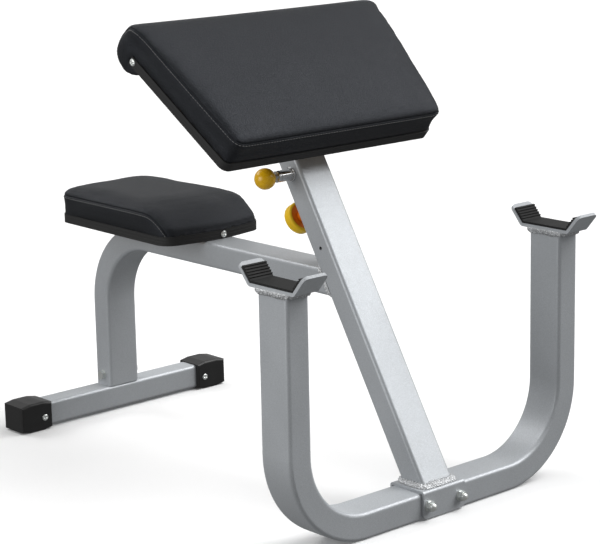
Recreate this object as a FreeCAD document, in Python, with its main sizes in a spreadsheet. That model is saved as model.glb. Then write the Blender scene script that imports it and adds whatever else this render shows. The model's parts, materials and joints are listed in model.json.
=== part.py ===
import FreeCAD, Part
import math
import os
import re

import Sketcher

# A preacher curl bench. X runs across, along the bar that rests in the cradles. Y runs from the
# rack to the seat, and Z is up. The origin is on the floor, under the middle of the rack frame.
# The arm pad stands at its lowest place and the pull pin is drawn out, free of the pad tube.

Vector = FreeCAD.Vector

# Driving sizes, in millimetres and degrees: name, value, meaning
SIZES = [
    ("tube_width", 75, "frame tube, wide side"),
    ("tube_depth", 50, "frame tube, narrow side"),
    ("tube_wall", 3, "frame tube, wall"),
    ("tube_corner", 7, "frame tube, outside corner radius"),
    ("bend_radius", 130, "frame tube, inside radius of its bends"),
    ("overrun", 12, "how far a cut runs past the face it opens"),
    ("rest_gap", 0.3, "gap between a resting piece and its stop"),
    ("rack_spacing", 675, "rack uprights, centre to centre"),
    ("rack_height", 470, "rack uprights, top above the floor"),
    ("cradle_width", 54, "bar cradle, along the bar"),
    ("cradle_flat", 114, "bar cradle, flat between its bend lines"),
    ("cradle_lip", 44, "bar cradle, length of a lip"),
    ("cradle_angle", 50, "bar cradle, rise of a lip"),
    ("cradle_plate", 6, "bar cradle, plate thickness"),
    ("cradle_bend", 9, "bar cradle, outside radius of the bends"),
    ("cradle_corner", 10, "bar cradle, corner radius of a lip"),
    ("liner_thickness", 4, "cradle liner, thickness"),
    ("liner_margin", 9, "cradle liner, bare band at a lip's edge"),
    ("liner_side", 1.5, "cradle liner, bare band at each side"),
    ("liner_rib", 2, "cradle liner, height of a rib"),
    ("liner_rib_width", 3, "cradle liner, width of a rib"),
    ("liner_rib_pitch", 5.5, "cradle liner, spacing of the ribs"),
    ("saddle_length", 105, "post saddle, along the bottom bar"),
    ("saddle_plate", 5, "post saddle, plate thickness"),
    ("saddle_gap", 0.25, "post saddle, gap to each side of the bottom bar"),
    ("saddle_floor_gap", 3, "post saddle, gap below its sides"),
    ("saddle_bend", 6, "post saddle, outside radius of its folds"),
    ("saddle_chamfer", 6, "post saddle, cut-off at its lower corners"),
    ("saddle_bolt_spacing", 80, "saddle bolts, centre to centre"),
    ("saddle_bolt_height", 27, "saddle bolts, above the floor"),
    ("bolt_radius", 5, "frame bolts, shank radius"),
    ("bolt_flats", 17, "frame bolts and nuts, across flats"),
    ("bolt_head", 6.5, "frame bolts, head height"),
    ("bolt_gap", 0.25, "bolts, radial gap in a plain hole"),
    ("thread_gap", 0.05, "threads, radial gap in the nut"),
    ("washer_radius", 10, "frame washers, outside radius"),
    ("washer_thickness", 2, "frame washers, thickness"),
    ("nut_height", 8, "frame nuts, height"),
    ("nut_dome", 7.6, "cap nuts, dome radius"),
    ("post_lean", 30.5, "post, lean from upright"),
    ("post_length", 655, "post, length along its axis"),
    ("side_hole_radius", 3.5, "post, radius of the small hole in its side"),
    ("side_hole_height", 465, "post, small hole along the axis"),
    ("bush_depth", 60, "guide bush, length inside the post"),
    ("bush_collar", 8, "guide bush, collar on the post's mouth"),
    ("inner_width", 65, "pad tube, wide side"),
    ("inner_depth", 40, "pad tube, narrow side"),
    ("inner_wall", 2.5, "pad tube, wall"),
    ("inner_corner", 5, "pad tube, outside corner radius"),
    ("inner_start", 330, "pad tube, lower end along the post"),
    ("inner_top", 763, "pad tube cap, upper end along the post"),
    ("slide_gap", 0.3, "pad tube, gap to each guide face"),
    ("plug_flange", 4, "pad tube cap, flange thickness"),
    ("plug_depth", 15, "pad tube cap, depth inside the tube"),
    ("plug_edge", 1.5, "pad tube cap, rounding of its rim"),
    ("glide_flange", 12, "lower glide, length below the tube"),
    ("glide_depth", 25, "lower glide, length inside the tube"),
    ("pin_height", 615, "pull pin, along the post's axis"),
    ("pin_radius", 5, "pull pin, radius"),
    ("pin_gap", 0.05, "pull pin, radial gap in its barrel"),
    ("pin_hole_gap", 0.4, "adjustment holes, radial gap to the pin"),
    ("pin_travel", 6, "pull pin, travel from drawn to locked"),
    ("pin_clear", 0.6, "pull pin, drawn nose to the pad tube"),
    ("hole_pitch", 50, "adjustment holes, spacing"),
    ("barrel_radius", 11, "pin barrel, outside radius"),
    ("barrel_length", 31.5, "pin barrel, length on the post"),
    ("barrel_spigot", 8, "pin barrel, radius of its spigot in the post wall"),
    ("barrel_floor", 3, "pin barrel, floor of the spring room"),
    ("barrel_room", 7.5, "pin barrel, radius of the spring room"),
    ("barrel_edge", 1.2, "pin barrel and cap, rounding of their rims"),
    ("cap_length", 7, "barrel cap, length"),
    ("collar_radius", 7, "pull pin, collar radius"),
    ("collar_length", 4, "pull pin, collar length"),
    ("spring_wire", 1.2, "pin spring, wire diameter"),
    ("spring_radius", 6.2, "pin spring, mean radius"),
    ("spring_pitch", 4.15, "pin spring, rise of a turn"),
    ("ball_radius", 20, "ball knob, radius"),
    ("ball_reach", 65, "ball knob, centre from the post's side"),
    ("ball_flat", 9, "ball knob, radius of its flat"),
    ("ball_socket", 14, "ball knob, depth of its socket"),
    ("clamp_height", 547.5, "clamp screw, along the post's axis"),
    ("clamp_radius", 6, "clamp screw, radius"),
    ("clamp_nut_radius", 13, "clamp nut, radius"),
    ("clamp_nut_length", 14, "clamp nut, length on the post"),
    ("clamp_edge", 1.5, "clamp nut, rounding of its rim"),
    ("shoe_length", 7.5, "clamp shoe, length"),
    ("knob_reach", 22, "hand knob, hub from the post's back"),
    ("knob_hub", 8, "hand knob, length of the hub"),
    ("knob_hub_radius", 12, "hand knob, radius of the hub"),
    ("knob_radius", 30, "hand knob, radius"),
    ("knob_width", 20, "hand knob, width of the rim"),
    ("knob_wall", 5, "hand knob, wall of the rim"),
    ("knob_recess", 11, "hand knob, depth of the hollow"),
    ("knob_edge", 4, "hand knob, rounding of the rim"),
    ("beam_top", 418, "seat beam, top above the floor"),
    ("bench_reach", 931, "rear leg, centre from the rack frame"),
    ("foot_tube", 50, "foot bar, tube side"),
    ("foot_length", 532, "foot bar, length"),
    ("foot_lift", 5, "foot bar, underside above the floor"),
    ("spigot_height", 60, "leg spigot, height inside the leg"),
    ("spigot_gap", 0.3, "leg spigot, gap to the leg"),
    ("leg_bolt_height", 22, "leg bolt, above the foot bar"),
    ("boot_length", 76, "foot boot, length"),
    ("boot_depth", 66, "foot boot, front to back"),
    ("boot_end_wall", 4, "foot boot, end wall"),
    ("boot_roof", 6, "foot boot, wall over the foot bar"),
    ("boot_crown", 4, "foot boot, rise of the top and belly of the sole"),
    ("boot_edge", 5, "foot boot, rounding of its edges"),
    ("boot_gap", 0.2, "foot boot, gap to the foot bar"),
    ("boot_screw_inset", 19, "boot screw, from the boot's inner end"),
    ("boot_screw_height", 27, "boot screw, above the floor"),
    ("boot_screw_radius", 2.5, "boot screw, shank radius"),
    ("boot_screw_length", 16, "boot screw, shank length"),
    ("screw_head_radius", 5.5, "small screws, head radius"),
    ("screw_head", 2.6, "small screws, head height"),
    ("trim_screw_radius", 1.8, "trim screws, shank radius"),
    ("trim_screw_length", 14, "trim screws, shank length"),
    ("trim_wall", 3, "edge trim, wall"),
    ("seat_length", 384, "seat, front to back"),
    ("seat_width", 248, "seat, across its front"),
    ("seat_taper", 20, "seat, how much narrower its back is"),
    ("seat_bow", 22, "seat, lead of its bowed front edge"),
    ("seat_bow_radius", 300, "seat, radius of the bow"),
    ("seat_front_corner", 34, "seat, front corner radius"),
    ("seat_rear_corner", 28, "seat, rear corner radius"),
    ("seat_board", 18, "seat board and trim, thickness"),
    ("seat_panel", 40, "seat cushion, height of the side panel"),
    ("seat_crown", 14, "seat cushion, rise of the crown"),
    ("seat_tuck", 3, "seat cushion, how far its sides draw in"),
    ("seat_round", 40, "seat cushion, run of the crown at the sides"),
    ("seat_waterfall", 80, "seat cushion, run of the front slope"),
    ("seat_bolt_inset", 50, "seat bolts, first one from the front edge"),
    ("seat_bolt_pitch", 120, "seat bolts, spacing"),
    ("seat_screw_offset", 10, "seat trim screw, from the middle"),
    ("small_bolt_radius", 4, "board bolts, shank radius"),
    ("small_bolt_flats", 13, "board bolts, across flats"),
    ("small_bolt_head", 5.3, "board bolts, head height"),
    ("small_bolt_grip", 12, "board bolts, length inside the board"),
    ("small_washer_radius", 8, "board washers, outside radius"),
    ("small_washer_thickness", 1.6, "board washers, thickness"),
    ("tee_radius", 5.5, "tee nuts, barrel radius"),
    ("tee_length", 14, "tee nuts, overall length"),
    ("tee_flange_radius", 10, "tee nuts, flange radius"),
    ("tee_flange", 1.6, "tee nuts, flange thickness"),
    ("pad_slope", 40.9, "arm pad, slope from level"),
    ("pad_overhang", 156.5, "arm pad, lower edge to the pad tube's top"),
    ("pad_width", 509, "arm pad, across its lower edge"),
    ("pad_flare", 8.7, "arm pad, angle of each side"),
    ("pad_length", 276, "arm pad board, up the slope"),
    ("pad_corner", 18, "arm pad, lower corner radius"),
    ("pad_board", 18, "arm pad board and trim, thickness"),
    ("pad_panel", 51, "arm pad cushion, height of the side panel"),
    ("pad_crown", 9, "arm pad cushion, rise of the crown"),
    ("pad_tuck", 5, "arm pad cushion, how far its sides draw in"),
    ("pad_round", 18, "arm pad cushion, run of its rounded edge"),
    ("roll_radius", 46, "arm pad roll, radius"),
    ("roll_reach", 11, "arm pad roll, centre past the board's end"),
    ("roll_height", 20, "arm pad roll, centre above the board's underside"),
    ("roll_corner", 28, "arm pad roll, rounding of its ends in plan"),
    ("pad_screw_inset", 8, "arm pad trim screws, from the board's end"),
    ("bracket_plate", 6, "pad bracket, plate thickness"),
    ("bracket_width", 160, "pad bracket, across"),
    ("bracket_length", 200, "pad bracket, up the slope"),
    ("bracket_start", 40, "pad bracket, lower end from the pad's edge"),
    ("gusset_plate", 5, "pad bracket, gusset thickness"),
    ("gusset_start", 50, "pad bracket, gusset's lower end up the slope"),
    ("gusset_end", 225, "pad bracket, gusset's upper end up the slope"),
    ("gusset_tail", 10, "pad bracket, gusset below the tube's top"),
    ("pad_bolt_spread", 120, "pad bolts, across"),
    ("pad_bolt_pitch", 150, "pad bolts, up the slope"),
]

RIB_COUNT = 5
HOLE_COUNT = 4
SPRING_TURNS = 4

# Seat cushion, from the board up: shares of panel height, crown rise, tuck, side run and front run
SEAT_LEVEL_SHARES = [
    (0.00, 0.00, 0.30, 0.00, 0.00),
    (0.35, 0.00, 1.00, 0.00, 0.05),
    (0.65, 0.00, 0.60, 0.00, 0.26),
    (0.95, 0.00, 0.00, 0.00, 0.50),
    (1.00, 0.30, 0.00, 0.05, 0.60),
    (1.00, 0.65, 0.00, 0.20, 0.72),
    (1.00, 0.90, 0.00, 0.50, 0.87),
    (1.00, 1.00, 0.00, 1.00, 1.00),
]
# Arm pad cushion, from below the roll up: shares of roll radius, board, panel, crown, tuck and run
PAD_LEVEL_SHARES = [
    (-1.0, 0.0, 0.00, 0.0, 1.4, 0.00),
    (0.0, 0.0, 0.00, 0.0, 0.6, 0.00),
    (0.0, 1.0, 0.00, 0.0, 0.3, 0.00),
    (0.0, 1.0, 0.45, 0.0, 1.0, 0.00),
    (0.0, 1.0, 0.93, 0.0, 0.0, 0.00),
    (0.0, 1.0, 1.00, 0.2, 0.0, 0.15),
    (0.0, 1.0, 1.00, 0.6, 0.0, 0.45),
    (0.0, 1.0, 1.00, 1.2, 0.0, 1.00),
]
# Arm pad crown: shares of the half width, each with its share of the crown's rise
PAD_CROWN_SHARES = [(-1.0, 0.45), (-0.6, 0.8), (0.0, 1.0), (0.6, 0.8), (1.0, 0.45)]
# Foot boot side view: shares of its length and of its crown, along the sole and the top
BOOT_CURVE_SHARES = [(0.0, 1.0), (0.28, 0.0), (0.72, 0.0), (1.0, 1.0)]

# Places worked out from the driving sizes, as formulas
SADDLE_TOP = "(tube_depth + saddle_plate)"
SADDLE_OUTSIDE = "(tube_width / 2 + saddle_gap + saddle_plate)"
POST_SIDE = "(tube_width / 2)"
POST_BACK = "(tube_depth / 2)"
BEND_LINE = "(bend_radius + tube_depth / 2)"
BEAM_CENTRE = "(beam_top - tube_depth / 2)"
FOOT_TOP = "(foot_lift + foot_tube)"
COLLAR_TOP = "(post_length + bush_collar)"
BARREL_END = "(tube_width / 2 + barrel_length)"
COLLAR_BACK = "(tube_width / 2 + barrel_floor + pin_travel + collar_length)"
NOSE = "(inner_width / 2 + pin_clear)"
BALL_CENTRE = "(tube_width / 2 + ball_reach)"
SHOE_FRONT = "(inner_depth / 2 + rest_gap)"
SCREW_FRONT = "(inner_depth / 2 + rest_gap + shoe_length)"
SCREW_WAY = "(clamp_radius + thread_gap)"
KNOB_START = "(tube_depth / 2 + knob_reach)"
SEAT_REAR = "(bench_reach + tube_depth / 2)"
SEAT_FRONT = "(bench_reach + tube_depth / 2 - seat_length)"
SEAT_TOP = "(beam_top + seat_board)"
ROLL_CENTRE = "(pad_length + roll_reach)"
PAD_TURN = "(90 - post_lean - pad_slope)"
PAD_Y = (
    "(inner_top * sin(post_lean) - inner_depth / 2 * cos(post_lean)"
    " - bracket_plate * sin(pad_slope) - pad_overhang * cos(pad_slope))"
)
PAD_Z = (
    "(tube_depth + saddle_plate + inner_top * cos(post_lean) + inner_depth / 2 * sin(post_lean)"
    " + bracket_plate * cos(pad_slope) - pad_overhang * sin(pad_slope))"
)

# Sizes that bolts, washers and nuts share, as formulas
FRAME_BOLT = ("bolt_radius", "bolt_flats", "bolt_head")
FRAME_WASHER = ("washer_radius", "bolt_radius + bolt_gap", "washer_thickness")
BOARD_BOLT = ("small_bolt_radius", "small_bolt_flats", "small_bolt_head")
BOARD_WASHER = ("small_washer_radius", "small_bolt_radius + bolt_gap", "small_washer_thickness")

X_AXIS = (1, 0, 0)
Y_AXIS = (0, 1, 0)
BACK_X_AXIS = (-1, 0, 0)
QUARTER_TURN = "90"
START_INDEX = 1
END_INDEX = 2
CENTRE_INDEX = 3
ORIGIN_INDEX = -1
TINY = 1e-6

doc = FreeCAD.newDocument("preacher_curl_bench")
sheet = doc.addObject("Spreadsheet::Sheet", "Sizes")
for row, (alias, size, meaning) in enumerate(SIZES, start=1):
    sheet.set(f"A{row}", meaning)
    sheet.set(f"B{row}", str(size))
    sheet.setAlias(f"B{row}", alias)
doc.recompute()

ALIASES = {alias for alias, size, meaning in SIZES}
nodes = {}


def formula(text):
    """A formula with the name of each size pointing at its cell."""
    return re.sub(r"[a-z]+(?:_[a-z]+)*", lambda w: f"Sizes.{w[0]}" if w[0] in ALIASES else w[0], text)


def number(text):
    """The value of a formula."""
    result = sheet.evalExpression(formula(text))
    return float(getattr(result, "Value", result))


def bind(thing, prop, text):
    thing.setExpression(prop, formula(text))


def place(thing, at=("0", "0", "0"), axis=None, turn=None):
    """Puts a thing at formulas and, with an axis, turns it about that axis."""
    if axis:
        thing.Placement = FreeCAD.Placement(Vector(), FreeCAD.Rotation(Vector(*axis), number(turn)))
        bind(thing, "Placement.Rotation.Angle", turn)
    for letter, text in zip("xyz", at):
        bind(thing, f"Placement.Base.{letter}", text)
    return thing


def on_post(thing):
    """Puts a piece made about the Z axis on the post's axis, from the post's foot up."""
    return place(thing, ("0", "0", SADDLE_TOP), BACK_X_AXIS, "post_lean")


def on_pad(thing):
    """Puts a piece made on the XY plane on the arm pad's underside, from its lower edge up."""
    return place(thing, ("0", PAD_Y, PAD_Z), X_AXIS, "pad_slope")


def node(name, thing):
    """Names a finished piece."""
    thing.Label = name
    nodes[name] = thing
    return thing


def box(name, size, at=("0", "0", "0"), axis=None, turn=None):
    solid = doc.addObject("Part::Box", name)
    for prop, text in zip(("Length", "Width", "Height"), size):
        bind(solid, prop, text)
    return place(solid, at, axis, turn)


def rod(name, radius, length, at=("0", "0", "0"), along="z"):
    """A round bar that runs from a point along X, Y or Z."""
    solid = doc.addObject("Part::Cylinder", name)
    bind(solid, "Radius", radius)
    bind(solid, "Height", length)
    axis = {"x": Y_AXIS, "y": BACK_X_AXIS, "z": None}[along]
    return place(solid, at, axis, QUARTER_TURN)


def hexagon(name, flats, height, at=("0", "0", "0")):
    solid = doc.addObject("Part::Prism", name)
    solid.Polygon = 6
    bind(solid, "Circumradius", f"{flats} / 2 / cos(30)")
    bind(solid, "Height", height)
    return place(solid, at)


def join(name, pieces):
    solid = doc.addObject("Part::MultiFuse", name)
    solid.Shapes = pieces
    solid.Refine = True
    return solid


def group(name, pieces):
    """Separate solids in one piece of the list."""
    compound = doc.addObject("Part::Compound", name)
    compound.Links = pieces
    return compound


def cut(name, base, tools):
    solid = doc.addObject("Part::Cut", name)
    solid.Base = base
    solid.Tool = tools[0] if len(tools) == 1 else join(f"{name}_tools", tools)
    return solid


def fillet(name, base, radius, chosen):
    """Rounds the edges of a solid that are chosen."""
    doc.recompute()
    solid = doc.addObject("Part::Fillet", name)
    solid.Base = base
    size = number(radius)
    solid.Edges = [(k, size, size) for k, edge in enumerate(base.Shape.Edges, 1) if chosen(edge)]
    return solid


def dress(body, kind, name, size, chosen):
    """Adds a fillet or chamfer to a body on the edges that are chosen; size is a property and a formula."""
    doc.recompute()
    base = body.Tip
    edges = [f"Edge{k}" for k, edge in enumerate(base.Shape.Edges, 1) if chosen(edge)]
    step = body.newObject(f"PartDesign::{kind}", name)
    step.Base = (base, edges)
    bind(step, *size)


def feature(name, shape):
    solid = doc.addObject("Part::Feature", name)
    solid.Shape = shape
    return solid


def runs_along(edge, axis):
    """True for a straight edge that runs along an axis."""
    if not isinstance(edge.Curve, Part.Line):
        return False
    return abs(edge.Curve.Direction.dot(Vector(*axis))) > 1 - TINY


def is_ring(edge, centre, radius):
    """True for a full circle of a radius about a point on its axis."""
    if not isinstance(edge.Curve, Part.Circle) or not edge.isClosed():
        return False
    return abs(edge.Curve.Radius - radius) < TINY and edge.Curve.Center.distanceToPoint(centre) < TINY


def new_sketch(body, name, role, offset=("0", "0", "0")):
    sketch = body.newObject("Sketcher::SketchObject", name)
    plane = next(flat for flat in body.Origin.OriginFeatures if flat.Role == role)
    sketch.AttachmentSupport = (plane, [""])
    sketch.MapMode = "FlatFace"
    for letter, text in zip("xyz", offset):
        bind(sketch, f"AttachmentOffset.Base.{letter}", text)
    return sketch


def measure(sketch, kind, places, text):
    """A dimension of a sketch, bound to a formula."""
    index = sketch.addConstraint(Sketcher.Constraint(kind, *places, number(text)))
    bind(sketch, f"Constraints[{index}]", text)


def draw_polygon(sketch, points):
    """A closed outline with straight sides, whose corners are pairs of formulas."""
    corners = [Vector(number(x), number(y), 0) for x, y in points]
    pairs = zip(corners, corners[1:] + corners[:1])
    lines = [sketch.addGeometry(Part.LineSegment(start, end), False) for start, end in pairs]
    for line, following in zip(lines, lines[1:] + lines[:1]):
        sketch.addConstraint(Sketcher.Constraint("Coincident", line, END_INDEX, following, START_INDEX))
    for line, (x, y) in zip(lines, points):
        measure(sketch, "DistanceX", (ORIGIN_INDEX, START_INDEX, line, START_INDEX), x)
        measure(sketch, "DistanceY", (ORIGIN_INDEX, START_INDEX, line, START_INDEX), y)


def draw_rounded(sketch, width, depth, corner):
    """A rectangle about the sketch's origin with four equal round corners."""
    half_width, half_depth, radius = number(f"({width}) / 2"), number(f"({depth}) / 2"), number(corner)
    inner_x, inner_y = half_width - radius, half_depth - radius
    sides = [
        ((-inner_x, -half_depth), (inner_x, -half_depth)),
        ((half_width, -inner_y), (half_width, inner_y)),
        ((inner_x, half_depth), (-inner_x, half_depth)),
        ((-half_width, inner_y), (-half_width, -inner_y)),
    ]
    centres = [(inner_x, -inner_y), (inner_x, inner_y), (-inner_x, inner_y), (-inner_x, -inner_y)]
    edges = []
    for k, ((start, end), centre) in enumerate(zip(sides, centres)):
        edges.append(sketch.addGeometry(Part.LineSegment(Vector(*start, 0), Vector(*end, 0)), False))
        circle = Part.Circle(Vector(*centre, 0), Vector(0, 0, 1), radius)
        arc = Part.ArcOfCircle(circle, (k - 1) * math.pi / 2, k * math.pi / 2)
        edges.append(sketch.addGeometry(arc, False))
    for edge, following in zip(edges, edges[1:] + edges[:1]):
        sketch.addConstraint(Sketcher.Constraint("Tangent", edge, END_INDEX, following, START_INDEX))
    bottom, first_arc, right, arc_two, top, arc_three, left, arc_four = edges
    for edge in (bottom, top):
        sketch.addConstraint(Sketcher.Constraint("Horizontal", edge))
    for edge in (left, right):
        sketch.addConstraint(Sketcher.Constraint("Vertical", edge))
    for arc in (arc_two, arc_three, arc_four):
        sketch.addConstraint(Sketcher.Constraint("Equal", first_arc, arc))
    middle = (first_arc, CENTRE_INDEX, arc_three, CENTRE_INDEX, ORIGIN_INDEX, START_INDEX)
    sketch.addConstraint(Sketcher.Constraint("Symmetric", *middle))
    measure(sketch, "Radius", (first_arc,), corner)
    measure(sketch, "DistanceX", (left, START_INDEX, right, START_INDEX), width)
    measure(sketch, "DistanceY", (bottom, START_INDEX, top, START_INDEX), depth)


def draw_tube(sketch, width, depth, corner, wall):
    """The section of a tube: its outside and its bore."""
    draw_rounded(sketch, width, depth, corner)
    draw_rounded(sketch, f"({width}) - 2 * ({wall})", f"({depth}) - 2 * ({wall})", f"({corner}) - ({wall})")


def pad_up(body, name, sketch, length, both_ways=False):
    pad = body.newObject("PartDesign::Pad", name)
    pad.Profile = sketch
    bind(pad, "Length", length)
    if both_ways:
        pad.SideType = "Symmetric"
    return pad


def straight_tube(name, section, role, start, length):
    """A straight tube from a start along the plane's normal; section is draw_tube's sizes."""
    body = doc.addObject("PartDesign::Body", name)
    sketch = new_sketch(body, f"{name}_section", role, ("0", "0", start))
    draw_tube(sketch, *section)
    pad_up(body, f"{name}_pad", sketch, length)
    return body


def plate(name, role, points, thickness):
    """A flat or folded plate: an outline on a plane, thickened both ways."""
    body = doc.addObject("PartDesign::Body", name)
    sketch = new_sketch(body, f"{name}_outline", role)
    draw_polygon(sketch, points)
    pad_up(body, f"{name}_pad", sketch, thickness, both_ways=True)
    return body


def rounded_wire(corners, height):
    """A closed outline at a height: corners are x, y and radius, joined by lines and tangent arcs."""
    arcs = []
    for k, (x, y, radius) in enumerate(corners):
        corner = Vector(x, y, height)
        before = Vector(*corners[k - 1][:2], height)
        after = Vector(*corners[(k + 1) % len(corners)][:2], height)
        back = (before - corner).normalize()
        ahead = (after - corner).normalize()
        half_angle = back.getAngle(ahead) / 2
        inward = (back + ahead).normalize()
        touch = radius / math.tan(half_angle)
        lead = radius / math.sin(half_angle) - radius
        arcs.append((corner + back * touch, corner + inward * lead, corner + ahead * touch))
    edges = []
    for arc, following in zip(arcs, arcs[1:] + arcs[:1]):
        edges.append(Part.Arc(*arc).toShape())
        edges.append(Part.LineSegment(arc[2], following[0]).toShape())
    return Part.Wire(edges)


def slab(corners, low, high):
    """A flat board of an outline, between two heights."""
    return Part.Face(rounded_wire(corners, low)).extrude(Vector(0, 0, high - low))


def upright_hole(radius, x, y, low, high):
    """A round cutter that stands at x, y."""
    return Part.makeCylinder(radius, high - low, Vector(x, y, low))


def hex_bolt(name, radius, flats, head, length):
    """A bolt along Z, its head below zero and its shank above."""
    top = hexagon(f"{name}_head", flats, head, ("0", "0", f"-({head})"))
    shank = rod(f"{name}_shank", radius, length)
    return join(name, [top, shank])


def washer(name, radius, hole, thickness):
    disc = rod(f"{name}_disc", radius, thickness)
    bore = rod(f"{name}_bore", hole, f"{thickness} + 2 * overrun", ("0", "0", "-overrun"))
    return cut(name, disc, [bore])


def dome_screw(name, shank_radius, length):
    """A screw along Z with a low domed head below zero."""
    head = rod(f"{name}_disc", "screw_head_radius", "screw_head", ("0", "0", "-screw_head"))
    edge = Vector(0, 0, -number("screw_head"))
    size = number("screw_head_radius")
    dome = fillet(f"{name}_head", head, "screw_head * 0.9", lambda e: is_ring(e, edge, size))
    shank = rod(f"{name}_shank", shank_radius, length)
    return join(name, [dome, shank])


def make_rack_frame():
    """One tube bent to a U, with two holes across its bottom bar for the saddle bolts."""
    body = doc.addObject("PartDesign::Body", "rack_tube")
    path = new_sketch(body, "rack_path", "XZ_Plane")
    half, top = number("rack_spacing / 2"), number("rack_height")
    radius, low = number(BEND_LINE), number("tube_depth / 2")
    left_centre = Part.Circle(Vector(radius - half, low + radius, 0), Vector(0, 0, 1), radius)
    right_centre = Part.Circle(Vector(half - radius, low + radius, 0), Vector(0, 0, 1), radius)
    left = path.addGeometry(Part.LineSegment(Vector(-half, top, 0), Vector(-half, low + radius, 0)), False)
    left_bend = path.addGeometry(Part.ArcOfCircle(left_centre, math.pi, 1.5 * math.pi), False)
    bottom_ends = Vector(radius - half, low, 0), Vector(half - radius, low, 0)
    bottom = path.addGeometry(Part.LineSegment(*bottom_ends), False)
    right_bend = path.addGeometry(Part.ArcOfCircle(right_centre, 1.5 * math.pi, 2 * math.pi), False)
    right = path.addGeometry(Part.LineSegment(Vector(half, low + radius, 0), Vector(half, top, 0)), False)
    edges = [left, left_bend, bottom, right_bend, right]
    for edge, following in zip(edges, edges[1:]):
        path.addConstraint(Sketcher.Constraint("Tangent", edge, END_INDEX, following, START_INDEX))
    path.addConstraint(Sketcher.Constraint("Vertical", left))
    path.addConstraint(Sketcher.Constraint("Horizontal", bottom))
    path.addConstraint(Sketcher.Constraint("Vertical", right))
    path.addConstraint(Sketcher.Constraint("Equal", left_bend, right_bend))
    measure(path, "Radius", (left_bend,), BEND_LINE)
    measure(path, "DistanceX", (ORIGIN_INDEX, START_INDEX, left, START_INDEX), "-rack_spacing / 2")
    measure(path, "DistanceY", (ORIGIN_INDEX, START_INDEX, left, START_INDEX), "rack_height")
    measure(path, "DistanceX", (ORIGIN_INDEX, START_INDEX, right, END_INDEX), "rack_spacing / 2")
    measure(path, "DistanceY", (ORIGIN_INDEX, START_INDEX, right, END_INDEX), "rack_height")
    measure(path, "DistanceY", (ORIGIN_INDEX, START_INDEX, bottom, START_INDEX), "tube_depth / 2")
    section = new_sketch(body, "rack_section", "XY_Plane", ("-rack_spacing / 2", "0", "rack_height"))
    draw_tube(section, "tube_depth", "tube_width", "tube_corner", "tube_wall")
    pipe = body.newObject("PartDesign::AdditivePipe", "rack_pipe")
    pipe.Profile = section
    pipe.Spine = path
    holes = [
        rod(
            f"rack_hole_{side}",
            "bolt_radius + bolt_gap",
            "tube_width + 2 * overrun",
            (f"{sign} * saddle_bolt_spacing / 2", "-tube_width / 2 - overrun", "saddle_bolt_height"),
            "y",
        )
        for side, sign in (("left", -1), ("right", 1))
    ]
    node("rack_frame", cut("rack_frame_cut", body, holes))


def lip_point(side, along, height):
    """A point of a cradle's profile: along a lip from the bend line, and above the plate's underside."""
    y = f"{side} * (cradle_flat / 2 + ({along}) * cos(cradle_angle) - ({height}) * sin(cradle_angle))"
    return y, f"({along}) * sin(cradle_angle) + ({height}) * cos(cradle_angle)"


def bend_point(side, height):
    """The corner of a cradle's profile at a height above the plate's underside."""
    return f"{side} * (cradle_flat / 2 - ({height}) * tan(cradle_angle / 2))", height


def make_cradles():
    """Bent plates on the uprights, each with a ribbed rubber liner on its upper side."""
    liner_end = "(cradle_lip - liner_margin)"
    liner_top = "(cradle_plate + liner_thickness)"
    rib_top = "(cradle_plate + liner_thickness + liner_rib)"
    profile = [
        lip_point(1, "cradle_lip", "0"),
        lip_point(1, "cradle_lip", "cradle_plate"),
        bend_point(1, "cradle_plate"),
        bend_point(-1, "cradle_plate"),
        lip_point(-1, "cradle_lip", "cradle_plate"),
        lip_point(-1, "cradle_lip", "0"),
        bend_point(-1, "0"),
        bend_point(1, "0"),
    ]

    def lip_ribs(side):
        """The upper side of a liner on a lip, from its outer end to the bend."""
        points = [lip_point(side, liner_end, liner_top)]
        for k in range(RIB_COUNT):
            start = f"({liner_end} - {k} * liner_rib_pitch - liner_rib_width / 2)"
            points.append(lip_point(side, start, liner_top))
            points.append(lip_point(side, f"({start} - liner_rib_width / 4)", rib_top))
            points.append(lip_point(side, f"({start} - liner_rib_width * 3 / 4)", rib_top))
            points.append(lip_point(side, f"({start} - liner_rib_width)", liner_top))
        points.append(bend_point(side, liner_top))
        return points

    lining = [lip_point(-1, liner_end, "cradle_plate"), *lip_ribs(-1), *reversed(lip_ribs(1))]
    lining += [lip_point(1, liner_end, "cradle_plate"), bend_point(1, "cradle_plate")]
    lining.append(bend_point(-1, "cradle_plate"))
    for side, sign in (("left", -1), ("right", 1)):
        at = (f"{sign} * rack_spacing / 2", "0", "rack_height")
        sheet_plate = plate(f"{side}_cradle_plate", "YZ_Plane", profile, "cradle_width")
        half_flat, lip_height = number("cradle_flat / 2"), number("cradle_lip * sin(cradle_angle)")
        dress(
            sheet_plate,
            "Fillet",
            f"{side}_cradle_folds",
            ("Radius", "cradle_bend"),
            lambda edge: runs_along(edge, X_AXIS)
            and abs(edge.CenterOfMass.z) < TINY
            and abs(abs(edge.CenterOfMass.y) - half_flat) < TINY,
        )
        dress(
            sheet_plate,
            "Fillet",
            f"{side}_cradle_corners",
            ("Radius", "cradle_corner"),
            lambda edge: isinstance(edge.Curve, Part.Line)
            and edge.CenterOfMass.z > lip_height
            and abs(edge.Length - number("cradle_plate")) < TINY,
        )
        node(f"{side}_bar_cradle", place(sheet_plate, at))
        liner = plate(f"{side}_liner_sheet", "YZ_Plane", lining, "cradle_width - 2 * liner_side")
        node(f"{side}_cradle_liner", place(liner, at))


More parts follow.
